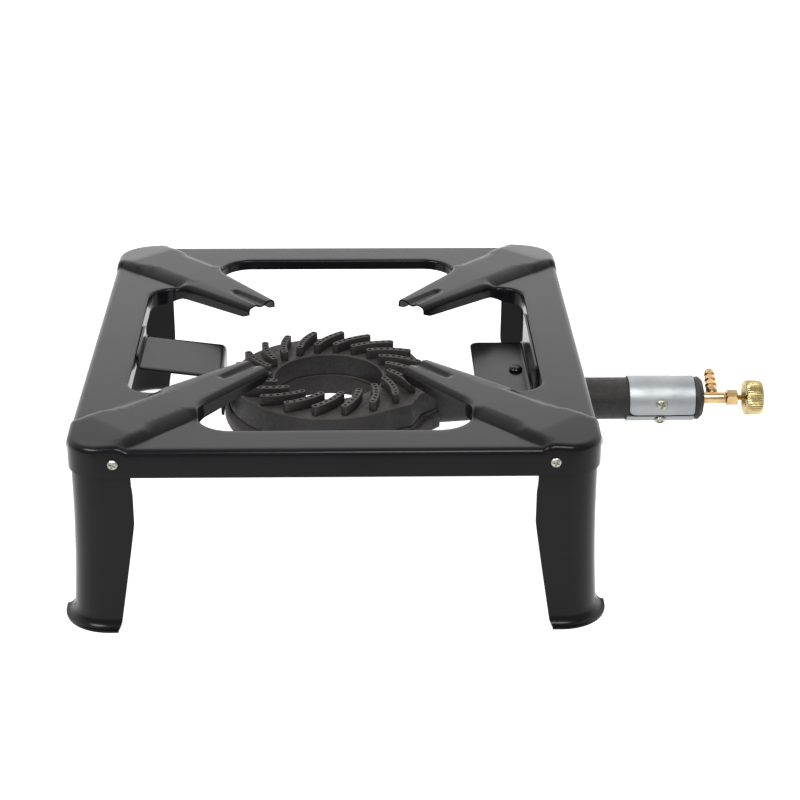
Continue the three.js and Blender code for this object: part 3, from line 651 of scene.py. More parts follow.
def deck_surface(outer_loop, inner_loop):
    """Points and triangles of the top surface between the two loops."""
    window = np.array([tuple(p) for p in inner_loop])
    borders = [tuple(p) for p in outer_loop + inner_loop]
    loops = closed_loop(0, len(outer_loop)) + closed_loop(len(outer_loop), len(inner_loop))
    extra = surface_points(np.array(borders), window)
    found = delaunay_2d_cdt([Vector(p) for p in borders + extra], loops, [], 1, 1e-5)
    vertices, triangles = found[0], found[2]
    centres = [[sum(vertices[i][k] for i in face) / len(face) for k in (0, 1)] for face in triangles]
    in_window = in_polygon(np.array(centres), window)
    points = [(v.x, v.y, top_height(v.x, v.y)) for v in vertices]
    return points, [face for face, hole in zip(triangles, in_window) if not hole]


def top_frame():
    """The pressed top: a deck with four raised arms, its skirt and the window's rim."""
    outer = rounded_path([(HALF_X, -HALF_Y, CORNER), (HALF_X, HALF_Y, CORNER),
                          (-HALF_X, HALF_Y, CORNER), (-HALF_X, -HALF_Y, CORNER)], 2.0)
    outer_loop = [point - normal * EDGE for point, normal in outer]
    inner = rounded_path(opening_corners(), 1.6)
    armness = smoothed([on_arm(point) for point, _ in inner], 6)
    radii = [2.4 + 2.2 * share for share in armness]
    inner_loop = [point + normal * radius for (point, normal), radius in zip(inner, radii)]
    bottoms = smoothed([rim_bottom(point, share) for (point, _), share in zip(inner, armness)], 3)

    points, faces = [], []
    for border, rows in ((outer, outer_edge(outer, outer_loop)),
                         (inner, inner_edge(inner, inner_loop, radii, bottoms))):
        grid = grid_faces(len(rows) // len(border), len(border), closed_columns=True)
        faces += shifted(grid, len(points))
        points += rows
    deck_points, deck_faces = deck_surface(outer_loop, inner_loop)
    faces += shifted(deck_faces, len(points))
    points += deck_points

    thing = new_object("stand_top", points, faces)
    with editing(thing) as body:
        bmesh.ops.remove_doubles(body, verts=body.verts, dist=2e-6)
        for _, sx, sy in CORNERS:
            cut_arm_end(body, sx, sy)
        bmesh.ops.recalc_face_normals(body, faces=body.faces)
        top_face = max(body.faces, key=lambda f: f.calc_center_median().z * f.normal.z ** 2)
        face_towards(body, top_face, UP)
    modifier(thing, "SOLIDIFY", thickness=SHEET * MM, offset=-1, use_rim=True, use_even_offset=True)
    shade_by_angle(thing, 45)
    finish_piece(thing, "stand", "black_paint", "top_frame")


def cut_arm_end(body, sx, sy):
    """Cuts an arm square at its tip and removes what lies beyond."""
    tip = world(sx * ARM_TIP.x, sy * ARM_TIP.y, 0)
    way = Vector((sx * ARM_ALONG.x, sy * ARM_ALONG.y, 0))
    near = [f for f in body.faces
            if abs((f.calc_center_median() - tip).dot(way)) < 25 * MM
            and (f.calc_center_median() - tip).xy.length < 32 * MM]
    parts = near + list({e for f in near for e in f.edges}) + list({v for f in near for v in f.verts})
    bmesh.ops.bisect_plane(body, geom=parts, dist=1e-7, plane_co=tip, plane_no=-way, clear_outer=True)


def surface_points(borders, opening):
    """Points that carry the pressed shapes, clear of the two border loops."""
    wanted = []
    for (start, way), turn in ((SIDE_FOOT, 1), (CROSS_FOOT, -1)):
        inward = Vector((way.y, -way.x)) * turn
        for depth in SLOPE_DEPTHS:
            wanted += [start + way * (k * 2.0) + inward * depth for k in range(-15, 112)]
    for i in range(-3, 26):
        wanted += [ARM_TIP + ARM_ALONG * (i * 2.0 - 1) + ARM_ACROSS * (k * 0.95) for k in range(-9, 10)]
    for along in BEND_STATIONS:
        wanted += [ARM_TIP + ARM_ALONG * along + ARM_ACROSS * (k * 3.0) for k in range(-12, 13)]
    for i in range(0, 48):
        for k in range(0, 52):
            spot = Vector((2 + i * 4.0, 2 + k * 4.0))
            if not -2.5 < inside_slope(*spot) < 10:
                wanted.append(spot)
    inset = EDGE + 0.5
    quarter = [spot for spot in wanted if 0 < spot.x < HALF_X - inset and 0 < spot.y < HALF_Y - inset]
    spots = np.array([(sx * spot.x, sy * spot.y) for spot in quarter for sx in (-1, 1) for sy in (-1, 1)])
    nearest = np.full(len(spots), 1e9)
    for chunk in range(0, len(borders), 400):
        part = borders[chunk:chunk + 400]
        distance = np.sqrt(((spots[:, None, :] - part[None]) ** 2).sum(2)).min(1)
        nearest = np.minimum(nearest, distance)
    past_corner = np.maximum(np.abs(spots) - (HALF_X - CORNER, HALF_Y - CORNER), 0)
    in_corner = (past_corner ** 2).sum(1) < (CORNER - inset) ** 2
    spots = spots[(nearest > BORDER_GAP) & ~in_polygon(spots, opening) & in_corner]
    kept = {}
    for x, y in spots:
        kept.setdefault((round(x / POINT_GAP), round(y / POINT_GAP)), (float(x), float(y)))
    return list(kept.values())


def in_polygon(points, polygon):
    """Which points lie inside an outline."""
    x, y = points[:, 0], points[:, 1]
    inside = np.zeros(len(points), bool)
    for (x0, y0), (x1, y1) in zip(polygon, np.roll(polygon, -1, 0)):
        crosses = (y0 > y) != (y1 > y)
        if y0 != y1:
            inside ^= crosses & (x < (x1 - x0) * (y - y0) / (y1 - y0) + x0)
    return inside


# ---------------------------- legs
LEG_INSET = 1.9  # the legs stand inside the skirt
LEG_CORNER = 24.1
LEG_TOP = 137.2
LEG_LEAN = 4.6
LEG_BEND_Z = 105
FOOT_FLARE = 9.5  # height of the curve that turns the foot outwards
FOOT_REACH = 11
LEG_WIDTH = 45.8
REAR_LEG_WIDTH = 41.5
LEG_STEP = (108, 116)  # the walls are a little narrower above this stretch
LEG_TAPER_Z = 84


def leg_width(z):
    """Width of each wall of a leg: a small step under the skirt and a taper to the foot."""
    if z > LEG_TAPER_Z:
        low, high = LEG_STEP
        return LEG_WIDTH - 0.9 * max(0, min(1, (z - low) / (high - low)))
    return LEG_WIDTH - 13.2 * ((LEG_TAPER_Z - z) / LEG_TAPER_Z) ** 1.05


def leg_lean(z):
    """The lower half of a leg bends gently outwards."""
    return LEG_LEAN * (max(0, LEG_BEND_Z - z) / LEG_BEND_Z) ** 2


def leg_section():
    """Outward offset and height down the leg's wall and round its foot."""
    foot_top = SHEET + FOOT_FLARE
    section = [(leg_lean(z), z) for z in np.linspace(LEG_TOP, foot_top + 1, 34)]
    start = leg_lean(foot_top)
    for k in range(10):
        turn = math.pi / 2 * k / 9
        out = start + (FOOT_REACH - 1 - start) * (1 - math.cos(turn))
        section.append((out, foot_top - FOOT_FLARE * math.sin(turn)))
    section += [(FOOT_REACH - 0.5, SHEET), (FOOT_REACH, SHEET)]
    return section


def leg(name, sx, sy):
    """An L-section leg with a round corner and a flared foot."""
    face_x, face_y = HALF_X - LEG_INSET, HALF_Y - LEG_INSET
    centre = Vector((face_x - LEG_CORNER, face_y - LEG_CORNER))
    points = []
    straight, arc = 9, 14
    section = leg_section()
    for out, z in section:
        width = leg_width(z) if sy < 0 else min(leg_width(z), REAR_LEG_WIDTH)
        width -= rounding(z, 6) * 5 / 6
        for k in range(straight):
            share = k / straight
            points.append((face_x + out, (face_y - width) * (1 - share) + centre.y * share, z))
        for k in range(arc + 1):
            turn = math.pi / 2 * k / arc
            radius = LEG_CORNER + out
            points.append((centre.x + radius * math.cos(turn), centre.y + radius * math.sin(turn), z))
        for k in range(1, straight + 1):
            share = k / straight
            points.append(((face_x - width) * share + centre.x * (1 - share), face_y + out, z))
    points = [(sx * x, sy * y, z) for x, y, z in points]
    thing = new_object(name + "_sheet", points, grid_faces(len(section), 2 * straight + arc + 1))
    outward = Vector((sx, sy, 0))

    def off_middle(face):
        middle = face.calc_center_median()
        return abs(middle.z - 0.08) - 0.5 * middle.dot(outward)

    with editing(thing) as body:
        face_towards(body, min(body.faces, key=off_middle), outward)
    modifier(thing, "SOLIDIFY", thickness=SHEET * MM, offset=-1, use_rim=True)
    shade_by_angle(thing, 45)
    finish_piece(thing, "stand", "black_paint", name)


# ---------------------------- screws, nuts and bolts
def aimed(place, axis, spin=0.0):
    """Maps (radius, angle, along) onto an axis that starts at a point."""
    start, way = Vector(place), Vector(axis).normalized()
    side = way.orthogonal().normalized()
    side.rotate(Matrix.Rotation(spin, 3, way))
    other = way.cross(side)

    def point(radius, angle, along):
        return tuple(start + way * along + (side * math.cos(angle) + other * math.sin(angle)) * radius)

    return point


def aimed_box(name, point, half_width, half_length, low, high):
    """A box that lies across the axis of an aimed() frame."""
    reach = math.hypot(half_width, half_length)
    corner = math.atan2(half_width, half_length)
    turns = (corner, math.pi - corner, math.pi + corner, -corner)
    bottom, top = ([point(reach, turn, level) for turn in turns] for level in (low, high))
    return block(name, bottom, top)


def cross_head_screw(name, place, axis, head, shank, height, length, spin):
    """A pan-head screw with a cross recess. place is where the head's seat meets the axis."""
    point = aimed(place, axis, spin)
    profile = rounded_profile([
        (0, -length, 0), (shank, -length, 0.3), (shank, 0, 0), (head, 0, 0.2),
        (head, height * 0.42, height * 0.3), (head * 0.72, height * 0.9, height * 0.5), (0, height, 0),
    ], 4)
    thing = lathe(name, profile, point, 40)
    for quarter in (0, 1):
        turned = aimed(place, axis, spin + quarter * math.pi / 2)
        boolean(thing, aimed_box("recess", turned, 0.13 * head, 0.62 * head, height * 0.35, height + 1))
    shade_by_angle(thing, 32)
    return thing


def hexagonal(name, profile, place, flats, segments):
    """A turned profile cut down to a hexagon, so that its corners are chamfered."""
    def within_flats(radius, along, angle):
        return min(radius, flats / 2 / math.cos((angle + math.pi / 6) % (math.pi / 3) - math.pi / 6))

    thing = lathe(name, profile, place, segments, within_flats)
    shade_by_angle(thing, 25)
    return thing


def hex_nut(name, place, axis, flats, thickness, bore):
    radius = flats / math.sqrt(3)
    profile = [(bore, 0), (radius - 0.5, 0), (radius, 0.45), (radius, thickness - 0.45),
               (radius - 0.5, thickness), (bore + 0.3, thickness), (bore, thickness - 0.3), (bore, 0)]
    return hexagonal(name, profile, aimed(place, axis), flats, 36)


def leg_screws():
    """A screw and its nut through each wall of each leg."""
    chance = random.Random(3)
    for corner, sx, sy in CORNERS:
        for tail, axis in (("", 1), ("_side", 0)):
            side, half = ((sx, HALF_X), (sy, HALF_Y))[axis]
            way = Vector((0, 0, 0))
            way[axis] = side
            low, high = node_box(f"leg_screw_{corner}{tail}")
            seat = (low + high) / 2
            seat[axis] = side * (half + 0.1)
            nut_low, nut_high = node_box(f"leg_nut_{corner}{tail}")
            nut_seat = (nut_low + nut_high) / 2
            nut_seat[axis] = side * min(abs(nut_low[axis]), abs(nut_high[axis]))
            screw = cross_head_screw(f"screw_{corner}{tail}", seat, way, 3.8, 2, 2.3, 9,
                                     chance.uniform(0, 1.5))
            finish_piece(screw, "stand", "screw_steel", f"leg_screw_{corner}{tail}")
            nut = hex_nut(f"nut_{corner}{tail}", nut_seat, way, 7, 3, 2.1)
            finish_piece(nut, "stand", "screw_steel", f"leg_nut_{corner}{tail}")


def domed_bolt(name, place, axis, length):
    """A bolt with a collar under its round head."""
    profile = rounded_profile([
        (0, -length, 0), (2.5, -length, 0.4), (2.5, 0.3, 0), (5.4, 0.3, 0.3), (5.4, 1.5, 0.6),
        (4.2, 3.0, 1.2), (0, 3.7, 0),
    ], 4)
    return lathe(name, profile, aimed(place, axis), 36)


# ---------------------------- brackets
def folded_sheet(name, path, half_width_at, columns, thickness):
    """A strip along a path of (x, z), whose half width changes along it."""
    points = []
    for x, z in path:
        half = half_width_at(x, z)
        points += [(x, half * (2 * k / (columns - 1) - 1), z) for k in range(columns)]
    thing = new_object(name, points, grid_faces(len(path), columns))
    with editing(thing) as body:
        face_towards(body, max(body.faces, key=lambda f: abs(f.normal.z)), UP)
    modifier(thing, "SOLIDIFY", thickness=thickness * MM, offset=-1, use_rim=True, use_even_offset=True)
    bevelled(thing, 0.35, 2, 50)
    return thing


def dense(path, spacing):
    """The same path with more points on its long stretches."""
    result = []
    for (ax, az), (bx, bz) in zip(path, path[1:]):
        steps = max(1, math.ceil(math.hypot(bx - ax, bz - az) / spacing))
        result += [(ax + (bx - ax) * k / steps, az + (bz - az) * k / steps) for k in range(steps)]
    return result + [path[-1]]


def bracket_left():
    low, high = node_box("bracket_left")
    face = low.x + 2
    path = rounded_profile([(face, high.z, 0), (face, 130.6, 3), (high.x + 1.2, 122.4, 5),
                            (high.x + 1.6, low.z, 0)], 7)

    def half_width(x, z):
        return high.y - rounding(z - low.z, 4.5) - rounding(high.z - z, 3)

    thing = folded_sheet("strap_left", dense(path, 1.5), half_width, 17, 2)
    finish_piece(thing, "stand", "black_paint", "bracket_left")

    seat = (node_box("burner_bolt_left")[0].x + 3.9, 0, 101)
    bolt = cross_head_screw("bolt_left", seat, (-1, 0, 0), 5.3, 2.5, 3.4, 13.6, 0.4)
    finish_piece(bolt, "stand", "screw_steel", "burner_bolt_left")


def bracket_right():
    low, high = node_box("bracket_right")
    plate = low.z + 2
    path = rounded_profile([(low.x, plate, 0), (high.x - 2, plate, 3), (high.x - 2, high.z, 0)], 7)

    def half_width(x, z):
        return high.y - rounding(x - low.x, 7) - rounding(high.z - z, 3)

    thing = folded_sheet("plate_right", dense(path, 1.5), half_width, 25, 2)
    finish_piece(thing, "stand", "black_paint", "bracket_right")

    bolt_low, bolt_high = node_box("burner_bolt_right")
    seat = ((bolt_low.x + bolt_high.x) / 2, 0, plate)
    bolt = domed_bolt("bolt_right", seat, (0, 0, 1), plate - bolt_low.z)
    finish_piece(bolt, "stand", "black_paint", "burner_bolt_right")


# ---------------------------- ring burner
JOINT_Z = 88.4  # where the two castings meet
JOINT_GAP = 0.2
PLATE_Z = 108
RIB_TOP = 116
HOLE = 43.7
RIBS = 20
PORTS = 7
RIB_WIDTH = 5.6
RIB_OUTER = 75
RIB_INNER = 47.5
RIB_SWEEP = math.radians(0.8)  # turn per millimetre of radius
RIB_FIRST = math.radians(9)
RIB_END = 2.0  # how far a rib's rounded end bulges
WINDOW_LOW = Vector((257, -40, TUBE_Z - 7))  # the air window that the shutter covers
WINDOW_HIGH = Vector((281, 40, TUBE_Z + 7))
FLASH_ANGLES = (7, 83, 187)


def throat_outline(grow):
    """The throat between the ring and the tube, seen from above."""
    half = [(12, 77.6 + grow), (59.5 + grow, 54 + grow), (68 + grow, 33 + grow), (80 + grow, 21 + grow)]
    return half + [(x, -y) for x, y in reversed(half)]


def burner_base():
    ring = lathe("burner_lower", rounded_profile([
        (42.2, 73.5, 0), (82.5, 73.5, 2), (84.5, 78, 3), (84.5, 84, 2), (81.2, JOINT_Z - JOINT_GAP, 0.4),
        (46.5, JOINT_Z - JOINT_GAP, 0), (46.3, 90.3, 0.4), (42.2, 90.3, 0.6), (42.2, 74.5, 0),
        (42.2, 73.5, 0),
    ], 5), about_ring, 120)
    throat = prism("throat", throat_outline(3), 73.5, 84.6)
    lid = prism("throat_lid", throat_outline(0.5), 80, JOINT_Z - JOINT_GAP)
    boolean(throat, lid, "UNION")
    boss = lathe("boss", [(0, 90), (8.4, 90), (7, 110.7), (2.6, 110.7), (2.6, 100), (0, 100)],
                 aimed((145, 0, 0), (0, 0, 1)), 40)
    tube = lathe("tube", [
        (14.5, 60), (20.2, 66), (17.3, 112), (17.1, 118), (17.1, 289.6), (16.6, 290.3), (12.5, 290.3),
        (12.5, 200), (0, 200),
    ], about_tube, 96)
    boolean(tube, box_between("window", WINDOW_LOW, WINDOW_HIGH))
    flash = [parting_ridge(angle) for angle in FLASH_ANGLES]
    bevelled(throat, 1.6, 3, 30)
    thing = joined("burner_casting", [ring, throat, tube, boss, *flash])
    shade_by_angle(thing, 38)
    finish_piece(thing, "stand", "cast_iron", "burner_base")


def box_between(name, low, high):
    outline = [(low[0], low[1]), (high[0], low[1]), (high[0], high[1]), (low[0], high[1])]
    return prism(name, outline, low[2], high[2])


def parting_ridge(degrees):
    """The thin raised line that the mould's joint leaves along the tube."""
    points = []
    stations = [114 + k * 2.4 for k in range(50)]
    for k, x in enumerate(stations):
        rise = 0.28 + 0.22 * noise.noise(Vector((x * 0.21, degrees, 0)))
        if x > SHUTTER_START - SHUTTER_TRAVEL - 4:  # filed down where the shutter slides
            rise *= 0.3
        for angle, radius in ((-2.6, 16.8), (0, 17.1 + rise), (2.6, 16.8)):
            points.append(about_tube(radius, math.radians(degrees + angle), x))
    return new_object("flash", points, grid_faces(len(stations), 3))


def rib_centreline(first, steps):
    """Points of a rib's middle line, from its outer end inwards, with its direction at each."""
    line = []
    for i in range(steps + 1):
        radius = RIB_OUTER + (RIB_INNER - RIB_OUTER) * i / steps
        angle = first + RIB_SWEEP * (RIB_OUTER - radius)
        spoke = Vector((math.cos(angle), math.sin(angle)))
        tangent = Vector((-spoke.y, spoke.x))
        way = (tangent * RIB_SWEEP * radius - spoke).normalized()
        line.append((spoke * radius + Vector((RING_X, 0)), way))
    return line


def left_of(way):
    return Vector((-way.y, way.x))


def round_end(centre, way, first):
    """Half of an ellipse across a rib's end, from an angle on."""
    points = []
    for k in range(7):
        turn = first + math.pi * k / 6
        across = left_of(way) * (RIB_WIDTH / 2 * math.sin(turn))
        points.append(centre + way * (RIB_END * math.cos(turn)) + across)
    return points


def rib(first):
    """One curved rib with rounded ends, standing on the plate."""
    line = rib_centreline(first, 14)
    half, inset = RIB_WIDTH / 2, 1.6
    start, start_way = line[0]
    end, end_way = line[-1]
    outline = round_end(start + start_way * inset, start_way, math.pi / 2)
    outline += [point - left_of(way) * half for point, way in line[2:-1]]
    outline += round_end(end - end_way * inset, end_way, -math.pi / 2)
    outline += [point + left_of(way) * half for point, way in reversed(line[2:-1])]
    return prism("rib", [tuple(p) for p in outline], PLATE_Z - 1.5, RIB_TOP)


def upright_block(name, centre, a, b, z0, z1):
    """A block round a centre, a and b being half of its two sides."""
    corners = [centre + a + b, centre - a + b, centre - a - b, centre + a - b]
    return prism(name, [tuple(c) for c in corners], z0, z1)


def rib_holes(first):
    """The square ports along a rib's top and the upright notches in its outer end."""
    line = rib_centreline(first, 2 * PORTS)
    holes = [upright_block("port", centre, way * 1.15, left_of(way) * 1.2, RIB_TOP - 2.6, RIB_TOP + 1)
             for centre, way in line[1::2]]
    start, way = line[0]
    for offset in (-1.15, 1.15):
        centre = start + left_of(way) * offset - way * 0.35
        holes.append(upright_block("notch", centre, way * 0.55, left_of(way) * 0.38,
                                   PLATE_Z + 0.2, RIB_TOP - 1.2))
    return holes


def burner_head():
    wall = lathe("burner_upper", rounded_profile([
        (47.7, JOINT_Z + 2, 0), (43.7, JOINT_Z + 2, 0.5), (43.7, 107.6, 0), (44.6, PLATE_Z + 0.4, 0.5),
        (46.4, PLATE_Z, 0.5), (78.0, PLATE_Z, 0), (79.3, 107, 1.0), (80.4, JOINT_Z + JOINT_GAP, 0.3),
        (76, JOINT_Z + JOINT_GAP, 0), (76, 103.5, 0), (47.7, 103.5, 0), (47.7, JOINT_Z + 2, 0),
    ], 4), about_ring, 120)
    cover = prism("throat_cover", throat_outline(0), JOINT_Z + JOINT_GAP, PLATE_Z - 0.4)
    hollow = lathe("hollow", [(0, 60), (HOLE + 3, 60), (HOLE + 3, 130), (0, 130)], about_ring, 96)
    boolean(cover, hollow)
    bevelled(cover, 1.3, 3, 40)
    lug = box_between("lug", (-91, -12, 92), (-80, 12, 106))
    bevelled(lug, 1.5, 3, 40)

    starts = [RIB_FIRST + k * 2 * math.pi / RIBS for k in range(RIBS)]
    ribs = joined("ribs", [rib(first) for first in starts])
    modifier(ribs, "BEVEL", width=0.5 * MM, segments=2, limit_method="ANGLE", angle_limit=math.radians(60))
    holes = [hole for first in starts for hole in rib_holes(first)]
    boolean(ribs, joined("holes", holes))
    shade_by_angle(ribs, 40)
    plates = joined("burner_plate", [wall, cover, lug])
    shade_by_angle(plates, 38)
    finish_piece(plates, "stand", "cast_iron", "burner_head")
    finish_piece(ribs, "stand", "cast_iron")


# ---------------------------- air shutter
SHUTTER_START = 236.7
SHUTTER_END = 290.1
SHUTTER_RADIUS = 18.5
SHUTTER_TRAVEL = 33
SHUTTER_STEP_X = 272  # the sheet is a little wider on the ring's side of this line
CREASE_ANGLE = 38
FLAP_ANGLE = -25  # the rolled sheet's outer edge, degrees above level at the front
LIP_ANGLE = -31


def shutter_radius(x, angle):
    """The sheet's outside radius, with a faint step along it and a faint crease up its front."""
    radius = SHUTTER_RADIUS - 0.1 + 0.1 * math.tanh((SHUTTER_STEP_X - x) / 0.6)
    if angle < 100:
        radius -= 0.12 * math.exp(-((angle - CREASE_ANGLE) / 9) ** 2) * (1 if x < SHUTTER_STEP_X else 0.2)
    return radius


def air_shutter():
    """A sheet rolled round the tube, from its free edge over the top and back to the lip."""
    columns, rows = 36, 120
    points = []
    sweep = 360 - (FLAP_ANGLE - LIP_ANGLE)
    for i in range(rows + 1):
        share = i / rows
        if i < 14:
            share = (i / 14) ** 1.6 * 14 / rows
        angle = FLAP_ANGLE + sweep * share
        arc = math.radians(sweep * share) * SHUTTER_RADIUS
        skew = -2.4 * share
        drawn_in = rounding(arc, 6)
        start = SHUTTER_START + max(0, skew + 2.4) * 0.8 + drawn_in - 1.2
        end = SHUTTER_END - rounding(arc, 2.5)
        for k in range(columns + 1):
            x = start + (end - start) * k / columns
            points.append(about_tube(shutter_radius(x, angle), math.radians(angle), x))
    thing = new_object("sleeve", points, grid_faces(rows + 1, columns + 1))
    with editing(thing) as body:
        body.faces.ensure_lookup_table()
        probe = body.faces[len(body.faces) // 2]
        face_towards(body, probe, probe.calc_center_median() - world(269, 0, TUBE_Z))
    modifier(thing, "SOLIDIFY", thickness=1.0 * MM, offset=-1, use_rim=True)
    shade_by_angle(thing, 45)
    finish_piece(thing, "shutter", "zinc_plate", "air_shutter")
    for name, degrees, spin in (("upper", 8, 0.5), ("lower", -43, 0.1)):
        angle = math.radians(degrees)
        axis = (0, -math.cos(angle), math.sin(angle))
        seat = (262.8, axis[1] * (SHUTTER_RADIUS + 0.1), TUBE_Z + axis[2] * (SHUTTER_RADIUS + 0.1))
        screw = cross_head_screw(f"sleeve_screw_{name}", seat, axis, 4.6, 2, 3.0, 1.0, spin)
        finish_piece(screw, "shutter", "screw_steel", f"shutter_screw_{name}")


# ---------------------------- valve
def end_cap():
    thing = lathe("tube_cap", rounded_profile([
        (5, 282, 0), (12.2, 282, 0.6), (12.2, 290.6, 0), (17.2, 290.6, 0.4), (17.6, 294.4, 1.5),
        (14.6, 297.6, 2.0), (9, 298.8, 0.8), (8, 299.2, 0.4), (5, 299.2, 0),
    ], 5), about_tube, 72)
    finish_piece(thing, "stand", "cast_iron", "end_cap")


def valve():
    body = lathe("valve_barrel", rounded_profile([
        (0, 286, 0), (3, 286, 0), (3, 292, 0), (4.7, 292, 0.3), (4.7, 315.6, 0.5), (4.4, 317.8, 0.4),
        (3.5, 317.8, 0), (3.5, 321.8, 0.3), (2.1, 321.8, 0),
    ], 4), about_tube, 48)
    finish_piece(body, "stand", "brass", "valve_body")

    tilt = math.radians(30)
    profile = [(3, 3, 0), (3, 5.4, 0), (4.6, 5.6, 0.3), (4.6, 10, 0.5), (3.4, 10.4, 0)]
    for k in range(3):
        foot = 11 + 5.4 * k
        profile += [(3.5, foot, 0.2), (5.1 - 0.25 * k, foot + 0.7, 0.35), (3.7, foot + 5.0, 0.3)]
    profile += [(3.2, 27.2, 0.4), (1.8, 27.5, 0.2), (1.8, 12, 0)]
    barb = lathe("barb", rounded_profile(profile, 4),
                 aimed((307, 0, TUBE_Z), (0, math.cos(tilt), math.sin(tilt))), 48)
    finish_piece(barb, "stand", "brass", "hose_barb")

    nut = gland_nut()
    finish_piece(nut, "stand", "brass", "gland_nut")
    spindle = lathe("spindle_rod", rounded_profile([
        (0, 293, 0), (0.6, 293, 0), (2, 297, 0.3), (2, 342.4, 0), (0, 342.4, 0),
    ], 3), about_tube, 32)
    finish_piece(spindle, "spindle", "brass", "valve_spindle")


def gland_nut():
    start, end = 318.1, 327.4
    profile = [(3.8, start), (5.8, start), (6.9, start + 0.7), (6.9, end - 1.6), (6.0, end - 0.5),
               (4.6, end), (2.4, end), (2.4, end - 3)]
    return hexagonal("valve_nut", profile, about_tube, 12, 72)


KNOB_START = 332.8
KNOB_END = 347.4
KNOB_TEETH = 44
KNOB_RIM = 13.5  # the teeth are cut where the profile is wider than this


def toothed(radius, along, angle):
    """The knob's rim has rounded teeth between its two chamfers."""
    if radius < KNOB_RIM or along < KNOB_START + 1:
        return radius
    return radius - max(0, math.cos(angle * KNOB_TEETH)) ** 0.8 * 0.5


def control_knob():
    thing = lathe("knob", [
        (2.4, KNOB_START + 2.6), (9.6, KNOB_START + 2.4), (10.6, KNOB_START + 0.5), (11.4, KNOB_START + 0.1),
        (13.0, KNOB_START), (13.9, KNOB_START + 0.5), (14.2, KNOB_START + 1.2), (14.2, KNOB_START + 5),
        (13.9, KNOB_START + 11), (13.7, KNOB_END - 1.8), (13.1, KNOB_END - 0.7), (12.0, KNOB_END - 0.2),
        (10, KNOB_END), (0, KNOB_END),
    ], about_tube, KNOB_TEETH * 6, toothed)
    shade_by_angle(thing, 30)
    finish_piece(thing, "knob", "brass", "control_knob", material=KNOB_BRASS)


# ---------------------------- staging
FLOOR_HALF = 6
FLOOR_FADE = (-0.56, -0.40)  # metres before the stand's middle
BACKDROP = 1.9
BACKDROP_BY_HEIGHT = ((0.0, 0.75), (0.15, 1.0), (0.58, 1.0), (0.82, 0.75), (1, 0.7))
BACKDROP_BY_DEPTH = ((0.0, 0.25), (0.4, 0.34), (0.5, 0.48), (0.72, 1.0), (1, 1.0))
LIGHT_DISTANCE = 1.8
LIGHT_TARGET_Z = 0.1
CAMERA_PLACE = (11.9, -1434.6, 753.4)
CAMERA_YAW_PITCH_ROLL = (1.58, 24.92, 0.38)
CAMERA_LENS = 87.4


def lay_out_floor():
    """A luminous white table whose front edge is a little greyer."""
    mesh = bpy.data.meshes.new("floor")
    corners = [(-1, -1), (1, -1), (1, 1), (-1, 1)]
    mesh.from_pydata([(x * FLOOR_HALF, y * FLOOR_HALF, 0) for x, y in corners], [], [(0, 1, 2, 3)])
    m = Surface("pale_floor", Roughness=0.8, Specular_IOR_Level=0.1, Emission_Color=(1, 1, 1, 1))
    nearness = m.add("ShaderNodeMapRange", in_0=m.part(m.place, 1), in_1=FLOOR_FADE[0], in_2=FLOOR_FADE[1],
                     interpolation_type="SMOOTHSTEP").outputs[0]
    grey = m.mix(nearness, (0.34, 0.34, 0.34), (0.45, 0.45, 0.45))
    glow = m.math("ADD", 0.32, m.math("MULTIPLY", nearness, 0.53))
    m.connect(Base_Color=grey, Emission_Strength=glow)
    mesh.materials.append(m.material)
    linked("floor", mesh)


def lay_out_backdrop():
    """A room that is bright behind the stand and dimmer in front of it."""
    surroundings = bpy.data.worlds.new("studio")
    bpy.context.scene.world = surroundings
    surroundings.use_nodes = True
    sky = Tree(surroundings.node_tree)
    way = sky.add("ShaderNodeTexCoord").outputs["Generated"]
    depth = sky.add("ShaderNodeMapRange", in_0=sky.part(way, 1), in_1=-1).outputs[0]
    by_height = sky.ramp(sky.part(way, 2), *BACKDROP_BY_HEIGHT)
    by_depth = sky.ramp(depth, *BACKDROP_BY_DEPTH)
    strength = sky.math("MULTIPLY", sky.math("MULTIPLY", by_height, by_depth), BACKDROP)
    background = sky.tree.nodes["Background"]
    sky.plug(strength, background.inputs["Strength"])
    background.inputs["Color"].default_value = (1, 0.985, 0.99, 1)


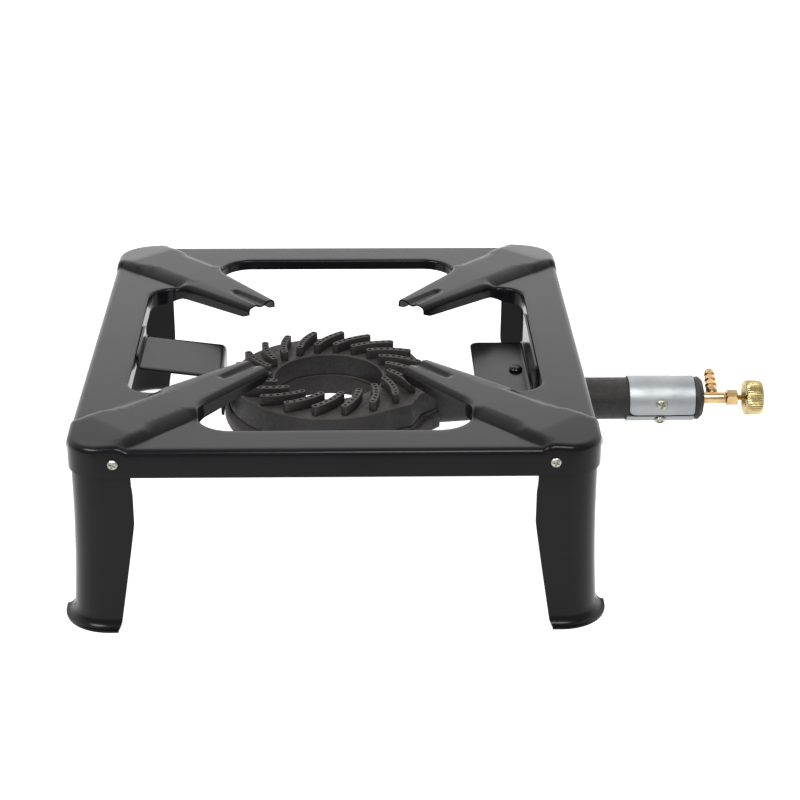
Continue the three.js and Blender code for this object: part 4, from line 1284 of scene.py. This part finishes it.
def softbox(name, azimuth, elevation, size, radiance):
    """A rectangular light. Azimuth 0 is in front and grows to the right."""
    turn, rise = math.radians(azimuth), math.radians(elevation)
    way = Vector((math.sin(turn) * math.cos(rise), -math.cos(turn) * math.cos(rise), math.sin(rise)))
    light = bpy.data.lights.new(name, "AREA")
    light.shape = "RECTANGLE"
    light.size, light.size_y = size
    light.energy = radiance * math.pi * size[0] * size[1]
    thing = linked(name, light)
    thing.location = way * LIGHT_DISTANCE + Vector((CENTRE_X, 0, 0))
    aim = Vector((CENTRE_X, 0, LIGHT_TARGET_Z)) - thing.location
    thing.rotation_euler = aim.to_track_quat("-Z", "Y").to_euler()


def lay_out_camera():
    camera = bpy.data.cameras.new("camera")
    camera.sensor_width = 36
    camera.lens = CAMERA_LENS
    camera.clip_end = 50
    thing = linked("camera", camera)
    yaw, pitch, roll = (math.radians(v) for v in CAMERA_YAW_PITCH_ROLL)
    ahead = Vector((math.sin(yaw) * math.cos(pitch), math.cos(yaw) * math.cos(pitch), -math.sin(pitch)))
    right = Vector((math.cos(yaw), -math.sin(yaw), 0))
    up = right.cross(ahead)
    tilted_right = right * math.cos(roll) + up * math.sin(roll)
    tilted_up = up * math.cos(roll) - right * math.sin(roll)
    turn = Matrix((tilted_right, tilted_up, -ahead)).transposed().to_4x4()
    thing.matrix_world = Matrix.Translation(world(*CAMERA_PLACE)) @ turn
    bpy.context.scene.camera = thing
    bpy.context.scene.view_settings.view_transform = "Standard"


lay_out_camera()
lay_out_floor()
lay_out_backdrop()
softbox("softbox_right", 16, 52, (0.8, 0.42), 15)
softbox("softbox_left", -50, 46, (0.8, 0.46), 17)

top_frame()
for corner, sx, sy in CORNERS:
    leg(f"leg_{corner}", sx, sy)
leg_screws()
bracket_left()
bracket_right()
burner_base()
burner_head()
air_shutter()
end_cap()
valve()
control_knob()

for entry in frame["record"]["subparts"]:
    node = frame["nodes"][entry["node"]]
    if not node.hide_render:
        node.data.materials.clear()
        node.data.materials.append(FINISHES[entry["material_slot"]])
